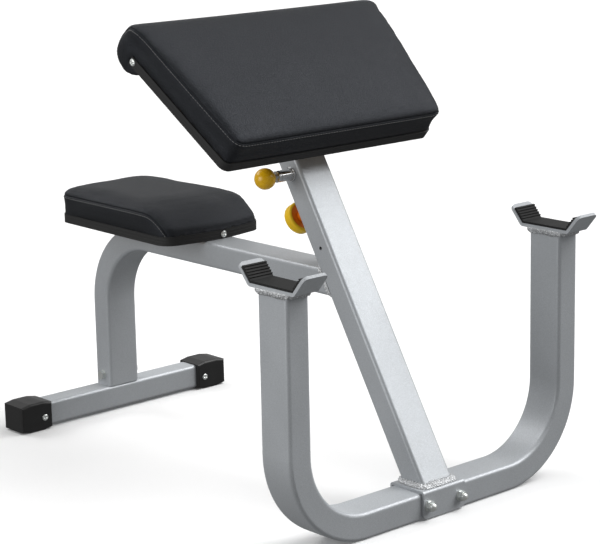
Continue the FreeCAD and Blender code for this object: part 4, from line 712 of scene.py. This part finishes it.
def settle_piece(name, mesh, finish, body):
    """An object for a finished mesh, shaded smooth, in its finish, that rides on its body."""
    mesh.shade_smooth()
    mesh.materials.clear()
    mesh.materials.append(finish)
    piece = bpy.data.objects.new(name, mesh)
    bpy.context.scene.collection.objects.link(piece)
    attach(piece, body)
    return piece


def unit(vectors):
    """Vectors scaled to length one."""
    return vectors / np.linalg.norm(vectors, axis=-1, keepdims=True)


def full_turn(count):
    """Angles once round a circle."""
    return np.linspace(0, 2 * np.pi, count, endpoint=False)


def even_path(rows, step, closed=False):
    """Rows of a path taken again at even steps along it, and the distance along it of each. The first three
    columns are places, and what is in the others goes with them."""
    rows = np.asarray(rows, float)
    if closed:
        rows = np.concatenate((rows, rows[:1]))
    runs = np.concatenate(([0.0], np.cumsum(np.linalg.norm(np.diff(rows[:, :3], axis=0), axis=1))))
    count = max(int(runs[-1] / step), 3)
    along = np.linspace(0, runs[-1], count, endpoint=not closed)
    taken = np.stack([np.interp(along, runs, column) for column in rows.T], axis=1)
    return taken, along


def rounded_run(corners, radius):
    """A line through corners in a plane, each rounded by an arc of a radius: the arc turns from the
    bisector."""
    corners = np.asarray(corners, float)
    pieces = [corners[:1]]
    for before, corner, after in zip(corners, corners[1:], corners[2:]):
        back, ahead = unit(before - corner), unit(after - corner)
        half = np.arccos(np.clip(back @ ahead, -1, 1)) / 2
        inward = unit(back + ahead)
        sideways = unit(ahead - back)
        centre = corner + inward * radius / np.sin(half)
        turn = np.linspace(-1, 1, ARC_POINTS)[:, None] * (np.pi / 2 - half)
        pieces.append(centre + radius * (np.sin(turn) * sideways - np.cos(turn) * inward))
    pieces.append(corners[-1:])
    return np.concatenate(pieces)


# Cushions


def evaluated(piece):
    """A mesh of a piece with its modifiers applied."""
    depsgraph = bpy.context.evaluated_depsgraph_get()
    return bpy.data.meshes.new_from_object(piece.evaluated_get(depsgraph))


def read_points(mesh):
    """A mesh's points, and their normals."""
    count = len(mesh.vertices)
    points, normals = np.empty(count * 3, np.float32), np.empty(count * 3, np.float32)
    mesh.vertices.foreach_get("co", points)
    mesh.vertex_normals.foreach_get("vector", normals)
    return points.reshape(-1, 3).astype(float), normals.reshape(-1, 3).astype(float)


def write_points(mesh, points):
    """Moves a mesh's points."""
    mesh.vertices.foreach_set("co", points.astype(np.float32).ravel())
    mesh.update()


def with_modifier(mesh, kind, **settings):
    """A mesh with one modifier applied."""
    holder = bpy.data.objects.new("workpiece", mesh)
    bpy.context.scene.collection.objects.link(holder)
    modifier = holder.modifiers.new(kind.lower(), kind)
    for name, value in settings.items():
        setattr(modifier, name, value)
    made = evaluated(holder)
    bpy.data.objects.remove(holder)
    return made


def merged_copy(node):
    """A copy of a node's mesh with its loose triangles joined."""
    mesh = nodes[node].data.copy()
    form = bmesh.new()
    form.from_mesh(mesh)
    bmesh.ops.remove_doubles(form, verts=form.verts, dist=MERGE_GAP)
    form.to_mesh(mesh)
    form.free()
    return mesh


def swollen(mesh, held):
    """The cover of a mesh blown out by pressure for some frames, with the held points pinned."""
    holder = bpy.data.objects.new("cover", mesh)
    bpy.context.scene.collection.objects.link(holder)
    pins = holder.vertex_groups.new(name="held")
    pins.add(np.flatnonzero(held).tolist(), 1.0, "REPLACE")
    cloth = holder.modifiers.new("cloth", "CLOTH")
    cloth.settings.use_pressure = True
    cloth.settings.uniform_pressure_force = COVER_PRESSURE
    cloth.settings.effector_weights.gravity = 0
    cloth.settings.vertex_group_mass = pins.name
    cloth.collision_settings.use_collision = False
    cloth.point_cache.frame_end = SWELL_FRAMES
    for moment in range(1, SWELL_FRAMES + 1):
        bpy.context.scene.frame_set(moment)
    points = read_points(evaluated(holder))[0]
    bpy.data.objects.remove(holder)
    bpy.context.scene.frame_set(1)
    return points


def wrapped(solid, cell):
    """A solid remeshed in cells, with its points laid back on the solid."""
    target = bpy.data.objects.new("solid", solid)
    bpy.context.scene.collection.objects.link(target)
    mesh = with_modifier(solid, "REMESH", mode="VOXEL", voxel_size=cell)
    mesh = with_modifier(mesh, "SHRINKWRAP", target=target)
    bpy.data.objects.remove(target)
    return mesh


def read_links(mesh):
    """The two ends of each edge, taken both ways round."""
    ends = np.empty(len(mesh.edges) * 2, np.int32)
    mesh.edges.foreach_get("vertices", ends)
    ends = ends.reshape(-1, 2)
    return np.concatenate((ends, ends[:, ::-1]))


def neighbour_means(links, values):
    """The mean of the values of each point's neighbours."""
    counts = np.bincount(links[:, 0], minlength=len(values))
    sums = [np.bincount(links[:, 0], column[links[:, 1]], len(values)) for column in values.T]
    return np.stack(sums, axis=1) / np.maximum(counts, 1)[:, None]


def relaxed(values, links, loose, rounds):
    """Values at a mesh's points, each drawn half way to its neighbours' mean in some rounds, as far as it
    is loose."""
    for _ in range(rounds):
        values = values + 0.5 * loose[:, None] * (neighbour_means(links, values) - values)
    return values


def above_board(height):
    """1 on a board and 0 above the band over it, easing between them."""
    share = np.clip((height - HELD_BAND) / HELD_FADE, 0, 1)
    return 1 - share**2 * (3 - 2 * share)


def padded_form(node, cell, turn_in, turn_out, board, reach):
    """Foam under a cover that lies on a board. The node's solid, with its base tucked in behind the trim,
    is remeshed in cells along its own axes and drawn in along its normals. Its cover then swells under
    pressure, each point by the cap times tanh of its move over the cap, evened out among its neighbours,
    and is plumped up and divided once. Points on the board, which ends at a reach, stay, and those just
    above it move less."""
    solid = merged_copy(node)
    points = turn_in(read_points(solid)[0])
    points[:, 2] -= TUCK * (np.abs(points[:, 2] - board) < HELD_BAND)
    write_points(solid, points)
    mesh = wrapped(solid, cell)
    links = read_links(mesh)
    points, normals = read_points(mesh)
    loose = 1 - above_board(points[:, 2] - board) * (points[:, 1] < reach)
    drawn = points - DRAW_IN * normals * loose[:, None]
    write_points(mesh, drawn)
    moves = swollen(mesh, loose < PINNED) - drawn
    lengths = np.linalg.norm(moves, axis=1, keepdims=True)
    moves *= SWELL_CAP * np.tanh(lengths / SWELL_CAP) / np.maximum(lengths, MERGE_GAP)
    moves = relaxed(moves, links, loose, SWELL_ROUNDS)
    write_points(mesh, relaxed(drawn + moves, links, loose, FORM_ROUNDS))
    points, normals = read_points(mesh)
    write_points(mesh, turn_out(points + PLUMP * normals * loose[:, None]))
    return with_modifier(mesh, "SUBSURF", levels=1, render_levels=1)


def laid_on(mesh, path):
    """The points and normals nearest to a path on a mesh of four-sided faces."""
    corners = np.empty(len(mesh.loops), np.int32)
    mesh.loops.foreach_get("vertex_index", corners)
    tree = BVHTree.FromPolygons(read_points(mesh)[0].tolist(), corners.reshape(-1, 4).tolist())
    places, normals = zip(*(tree.find_nearest(Vector(point))[:2] for point in path))
    return np.array(places), np.array(normals)


def evened(path):
    """A path without its small kinks: each point goes to a quarter of its neighbours and half of itself,
    many times."""
    for _ in range(EVEN_ROUNDS):
        path = np.concatenate((path[:1], (path[:-2] + 2 * path[1:-1] + path[2:]) / 4, path[-1:]))
    return path


def beside(points, path):
    """How far each point is from a path, and how far along the path the nearest place is."""
    line, along = even_path(path, SEAM_STEP)
    near = np.full(len(points), np.inf)
    where = np.zeros(len(points))
    for part in np.array_split(np.arange(len(line)), SEARCH_PARTS):
        gaps = np.linalg.norm(points[:, None] - line[None, part], axis=2)
        best = gaps.argmin(axis=1)
        closest = gaps[np.arange(len(points)), best]
        closer = closest < near
        near = np.where(closer, closest, near)
        where = np.where(closer, along[part][best], where)
    return near, where


def divide_band(mesh, path):
    """Divides the faces of a mesh in a band along a path by cuts each way, so that a narrow groove has
    points."""
    close = beside(read_points(mesh)[0], path)[0] < SEAM_BAND
    form = bmesh.new()
    form.from_mesh(mesh)
    edges = [edge for edge in form.edges if close[edge.verts[0].index] and close[edge.verts[1].index]]
    bmesh.ops.subdivide_edges(form, edges=edges, cuts=SEAM_CUTS, use_grid_fill=True)
    form.to_mesh(mesh)
    form.free()


def sew(mesh, path):
    """A seam: points sink along their normals by a bell of their distance from the path, and beside it the
    cover gathers in a wave of the distance along the path that shifts and fades, so that no two gathers are
    alike."""
    divide_band(mesh, path)
    points, normals = read_points(mesh)
    near, where = beside(points, path)
    groove = SEAM_DEPTH * np.exp(-((near / SEAM_WIDTH) ** 2))
    phase = 2 * np.pi * where / GATHER_PITCH
    shift = GATHER_SHIFT * np.sin(phase / GATHER_SHIFT_TURNS)
    wave = np.sin(phase + shift) * np.sin(phase / GATHER_FADE_TURNS + GATHER_FADE_START)
    gathers = GATHER_HEIGHT * wave * np.exp(-near / GATHER_REACH) * np.tanh(near / SEAM_WIDTH)
    write_points(mesh, points + normals * (gathers - groove)[:, None])


def stitch_row(name, mesh, path, body):
    """A row of stitches beside a seam, on the side panel. A stitch is a short thread whose ring centres
    follow an arch, so that its ends dive into the cover."""
    line, _ = even_path(path, STITCH_PITCH)
    surface, normals = laid_on(mesh, line)
    along = unit(np.gradient(surface, axis=0))
    sideways = unit(np.cross(along, normals))
    seats, outs = laid_on(mesh, surface + sideways * STITCH_OFFSET)
    add_piece(name, thread_grids(seats, along, outs), THREAD, body)


def thread_grids(seats, along, outs):
    """Rings of each stitch: centres on an arch along the seam, a fourth power of the way from its middle,
    and circles in the plane across it."""
    share = np.linspace(-1, 1, THREAD_RINGS)
    turn = full_turn(THREAD_SIDES)
    across = unit(np.cross(outs, along))
    lift = THREAD_RADIUS / 2 - THREAD_SINK * share**4
    centres = (
        seats[:, None]
        + along[:, None] * (share * STITCH_LENGTH / 2)[None, :, None]
        + outs[:, None] * lift[None, :, None]
    )
    circle = np.cos(turn)[None, :, None] * across[:, None] + np.sin(turn)[None, :, None] * outs[:, None]
    return centres[:, :, None] + THREAD_RADIUS * circle[:, None]


def pad_seam():
    """The arm pad's seam: round the left roll, down the side at the panel's top, along the lower edge and
    back up. A side is a line at the flare, and the roll's end an arc about the roll's centre."""
    top = PAD_BOARD + PAD_PANEL * PANEL_SHARE
    flare = math.tan(PAD_FLARE)
    start = np.array((ROLL_CENTRE * flare + PAD_HALF, ROLL_CENTRE, top))
    corner = np.array((PAD_HALF, 0, top))
    run = rounded_run((start * MIRROR, corner * MIRROR, corner, start), PAD_CORNER)
    turn = np.linspace(np.pi / 2, -np.pi / 2, ROLL_POINTS)[1:]
    reach = top - ROLL_HEIGHT
    far = ROLL_CENTRE + reach * np.cos(turn)
    arc = np.stack((PAD_HALF + far * flare, far, ROLL_HEIGHT + reach * np.sin(turn)), axis=1)
    return on_pad(np.concatenate((arc[::-1] * MIRROR, run, arc)))


def seat_seam():
    """The seat's seam: from the board at a front corner up the edge of the sloping front, along a side at
    the panel's top, round the back, and the same on the other side. The edge comes out by a square and
    rises by a sine."""
    half = (SEAT_HIGH[0] - SEAT_LOW[0]) / 2
    front, rear = SEAT_LOW[1], SEAT_HIGH[1]
    top = SEAT_TOP + SEAT_PANEL * PANEL_SHARE
    corner = np.array((half - SEAT_TAPER / 2, rear, top))
    bend = np.array((half - SEAT_TAPER / 8, front + SEAT_WATERFALL * SEAT_BEND_SHARE, top))
    back = rounded_run((bend, corner, corner * MIRROR, bend * MIRROR), SEAT_REAR_CORNER)
    fall = np.linspace(0, 1, FALL_POINTS)[:-1]
    start = front + SEAT_SEAM_START
    rise = SEAT_LOW_SHARE + (PANEL_SHARE - SEAT_LOW_SHARE) * np.sin(fall * np.pi / 2)
    drop = np.stack(
        (
            half - SEAT_SEAM_INSET * (1 - fall) ** 2,
            start + (bend[1] - start) * fall,
            SEAT_TOP + SEAT_PANEL * rise,
        ),
        axis=1,
    )
    return np.concatenate((drop, back, drop[::-1] * MIRROR))


def make_cushion(node, body, cell, seam, **lie):
    """A cushion in place of a node, with its seam and stitching. How it lies on its board goes to
    padded_form."""
    mesh = padded_form(node, cell, **lie)
    path = even_path(seam, SEAM_STEP)[0]
    for _ in range(SEAM_ROUNDS):
        path = laid_on(mesh, evened(path))[0]
    stitch_row(f"{node}_stitches", mesh, path, body)
    sew(mesh, path)
    cushion = settle_piece(f"{node}_cover", mesh, FINISHES["vinyl"], body)
    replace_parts(cushion, node)


# Welds


def rounded_loop(half_width, half_depth, radius):
    """A rectangle with rounded corners, anticlockwise from its right side, and its outward directions:
    quarter turns about the four corner centres."""
    turn = np.linspace(0, np.pi / 2, CORNER_POINTS)
    turns = np.concatenate([turn + quarter * np.pi / 2 for quarter in range(4)])
    outward = np.stack((np.cos(turns), np.sin(turns)), axis=1)
    signs = np.repeat(((1, 1), (-1, 1), (-1, -1), (1, -1)), len(turn), axis=0)
    centres = signs * (half_width - radius, half_depth - radius)
    return centres + radius * outward, outward


def bead(path, first, second, bow, leg):
    """A closed weld bead. Across it a curve runs from one surface to the other, (1-t) squared of the first
    direction, t squared of the second and 2t(1-t) of the bow, and a last point closes it inside the joint.
    Along it the size rises and drops like laid coins that curve across the bead, and wanders in slow
    waves."""
    rows, along = even_path(np.concatenate((path, first, second, bow), axis=1), WELD_STEP, closed=True)
    line, first, second, bow = (part[:, None] for part in np.split(rows, 4, axis=1))
    share = np.linspace(0, 1, BEAD_POINTS)[None, :, None]
    length = along[-1] + along[1]
    along = along[:, None, None]
    pitches = along / length * round(length / WELD_PITCH)
    coin = (pitches + COIN_CURVE * 4 * share * (1 - share)) % 1
    wander = WANDER_SHARE * np.sin(2 * np.pi * WANDER_WAVES * along / length)
    size = leg * (COIN_LOW_SHARE + COIN_RISE_SHARE * coin**COIN_POWER + wander)
    across = (1 - share) ** 2 * first + share**2 * second + 2 * share * (1 - share) * bow
    return np.concatenate((line + size * across, line - ROOT_SHARE * leg * bow), axis=1)


def foot_bead():
    """Round the leaning post's foot on the saddle: its section, stretched front to back by the lean."""
    loop, outward = rounded_loop(TUBE_WIDTH / 2, TUBE_DEPTH / 2 / POST_UP[2], TUBE_CORNER)
    path = np.column_stack((loop, np.full(len(loop), SADDLE_TOP)))
    first = np.column_stack((outward, np.zeros(len(loop))))
    second = np.broadcast_to(POST_UP, first.shape)
    return bead(path, first, second, WELD_BOW * (first + second), FOOT_WELD)


def cradle_bead(side):
    """Round the top of an upright, under its cradle, whose plate is hardly wider than the tube."""
    loop, outward = rounded_loop(TUBE_DEPTH / 2, TUBE_WIDTH / 2, TUBE_CORNER)
    low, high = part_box(f"{side}_bar_cradle")
    path = np.column_stack((loop, np.full(len(loop), low.z)))
    path[:, 0] += (low.x + high.x) / 2
    first = np.column_stack((outward * (CRADLE_LEDGE_SHARE, 1.0), np.zeros(len(loop))))
    second = np.broadcast_to(-UPWARD, first.shape)
    return bead(path, first, second, CRADLE_BOW * (first + second), CRADLE_WELD)


def beam_bead():
    """Round the seat beam's front end on the post's back. Above and below it lies in the corner between
    them, and at the sides it bridges the groove over the post's rounded edge."""
    loop, outward = rounded_loop(TUBE_WIDTH / 2, TUBE_DEPTH / 2, TUBE_CORNER)
    height = SEAT_LOW[2] - TUBE_DEPTH / 2 + loop[:, 1]
    depth = (TUBE_DEPTH / 2 - POST_BACK[2] * (height - SADDLE_TOP)) / POST_BACK[1]
    path = np.column_stack((loop[:, 0], depth, height))
    out = np.column_stack((outward[:, 0], np.zeros(len(loop)), outward[:, 1]))
    up_post = unit(out - np.outer(out @ POST_BACK, POST_BACK))
    sideways = np.abs(outward[:, :1])
    first = np.broadcast_to(BACKWARD, out.shape)
    second = unit((1 - sideways) * up_post - sideways * POST_BACK)
    bow = WELD_BOW * (first + second) * (1 - sideways) + GROOVE_BOW * out * sideways
    return bead(path, first, second, bow, BEAM_WELD)


def nut_bead():
    """Round the clamp nut on the post's back."""
    turn = full_turn(NUT_POINTS)[:, None]
    first = np.cos(turn) * ACROSS + np.sin(turn) * POST_UP
    centre = CLAMP_CENTRE + TUBE_DEPTH / 2 * POST_BACK
    second = np.broadcast_to(POST_BACK, first.shape)
    return bead(centre + CLAMP_NUT_RADIUS * first, first, second, WELD_BOW * (first + second), NUT_WELD)


def make_welds():
    """Every weld that shows, each a piece on the frame."""
    beads = {
        "post_foot_weld": foot_bead(),
        "left_cradle_weld": cradle_bead("left"),
        "right_cradle_weld": cradle_bead("right"),
        "beam_weld": beam_bead(),
        "clamp_nut_weld": nut_bead(),
    }
    for name, grid in beads.items():
        add_piece(name, [grid], WELD, "frame", closed_rows=True)


# Small screws


def cross_screw(seat, out):
    """A screw with a domed head and a cross recess, as rings from the head's middle to the tip. The dome is
    one less a power of the radius, raised to a power, and the recess two crossed bells that end inside the
    rim."""
    seat, out = np.asarray(seat, float), unit(np.asarray(out, float))
    side = unit(np.cross(out, UPWARD))
    up = np.cross(side, out)
    turn = full_turn(HEAD_POINTS)
    share = np.linspace(MIDDLE_SHARE, 1, HEAD_RINGS)[:, None]
    x, y = np.abs(share * np.cos(turn)), np.abs(share * np.sin(turn))
    arms = np.exp(-((np.minimum(x, y) / RECESS_HALF_SHARE) ** 4))
    arms = arms * np.exp(-((np.maximum(x, y) / RECESS_REACH_SHARE) ** 6))
    dome = (1 - share**DOME_POWER) ** DOME_ROUND
    head = SCREW_HEAD * (dome - RECESS_DEPTH_SHARE * arms)
    shank = np.array([[0.0], [-SCREW_LENGTH]]) + np.zeros(len(turn))
    height = np.concatenate((head, shank))
    radius = np.concatenate((SCREW_RADIUS * share, [[SCREW_SHANK]], [[SCREW_SHANK]]))
    spokes = np.cos(turn)[:, None] * side + np.sin(turn)[:, None] * up
    return seat + radius[:, :, None] * spokes + height[:, :, None] * out


def front_screws(node):
    """Screws of a node whose heads face the front, one on each side of the middle that the node has."""
    points = read_points(nodes[node].data)[0]
    groups = [points[points[:, 0] * sign > 0] for sign in (-1, 1)]
    seats = [
        ((group[:, 0].min() + group[:, 0].max()) / 2, group[:, 1].min() + SCREW_HEAD, group[:, 2].mean())
        for group in groups
        if len(group)
    ]
    return [cross_screw(seat, -BACKWARD) for seat in seats]


def pad_screws():
    """The two screws in the flared sides of the arm pad's trim."""
    along = PAD_LENGTH - PAD_SCREW_INSET
    half = PAD_HALF + along * math.tan(PAD_FLARE)
    seat = np.array((half, along, PAD_BOARD / 2))
    way = np.array((math.cos(PAD_FLARE), -math.sin(PAD_FLARE), 0))
    return [cross_screw(on_pad(seat * side), way * side @ PAD_AXES) for side in (MIRROR, np.ones(3))]


def make_screws():
    """Cross-recess screws in place of the plain ones."""
    sets = {
        "boot_screws": (front_screws("boot_screws"), "frame"),
        "seat_trim_screw": (front_screws("seat_trim_screw"), "frame"),
        "pad_trim_screws": (pad_screws(), "arm_pad"),
    }
    for node, (grids, body) in sets.items():
        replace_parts(add_piece(f"cross_{node}", grids, FINISHES["zinc"], body), node)


# Rings


def ring(centre, spokes, axis, bore, radius, start, length):
    """A ring: a rounded rectangle, from bore to radius and from a start over a length along an axis, turned
    about the axis. The turn runs from the first spoke to the second."""
    loop, _ = rounded_loop((radius - bore) / 2, length / 2, RING_ROUND)
    reach, along = (loop + ((bore + radius) / 2, start + length / 2)).T[:, None, :, None]
    turn = full_turn(RING_POINTS)[:, None, None]
    return centre + reach * (np.cos(turn) * spokes[0] + np.sin(turn) * spokes[1]) + along * axis


def make_rings():
    """A chrome collar on the pin barrel where it meets the post, and the face in the hand knob's hollow, coloured
    orange as painted shade."""
    collar_size = (COLLAR_BORE, COLLAR_RADIUS, TUBE_WIDTH / 2, COLLAR_LENGTH)
    collar = ring(PIN_CENTRE, (POST_UP, POST_BACK), -ACROSS, *collar_size)
    add_piece("pin_barrel_collar", [collar], FINISHES["chrome"], "frame", closed_rows=True)
    face_size = (FACE_BORE, FACE_RADIUS, FACE_START, FACE_LENGTH)
    # The face ring lies inside the knob's hollow, so the knob finish colours it with the painted shade's orange
    face = ring(CLAMP_CENTRE, (ACROSS, POST_UP), POST_BACK, *face_size)
    add_piece("knob_face", [face], FINISHES["knob_orange"], "clamp_knob", closed_rows=True)


dress_nodes()
make_camera()
make_room()
make_floor()
make_cushion(
    "pad_cushion",
    "arm_pad",
    PAD_CELL,
    pad_seam(),
    turn_in=off_pad,
    turn_out=on_pad,
    board=PAD_BOARD,
    reach=PAD_LENGTH + HELD_BAND,
)
make_cushion(
    "seat_cushion",
    "frame",
    SEAT_CELL,
    seat_seam(),
    turn_in=np.asarray,
    turn_out=np.asarray,
    board=SEAT_TOP,
    reach=SEAT_HIGH[1],
)
make_welds()
make_screws()
make_rings()
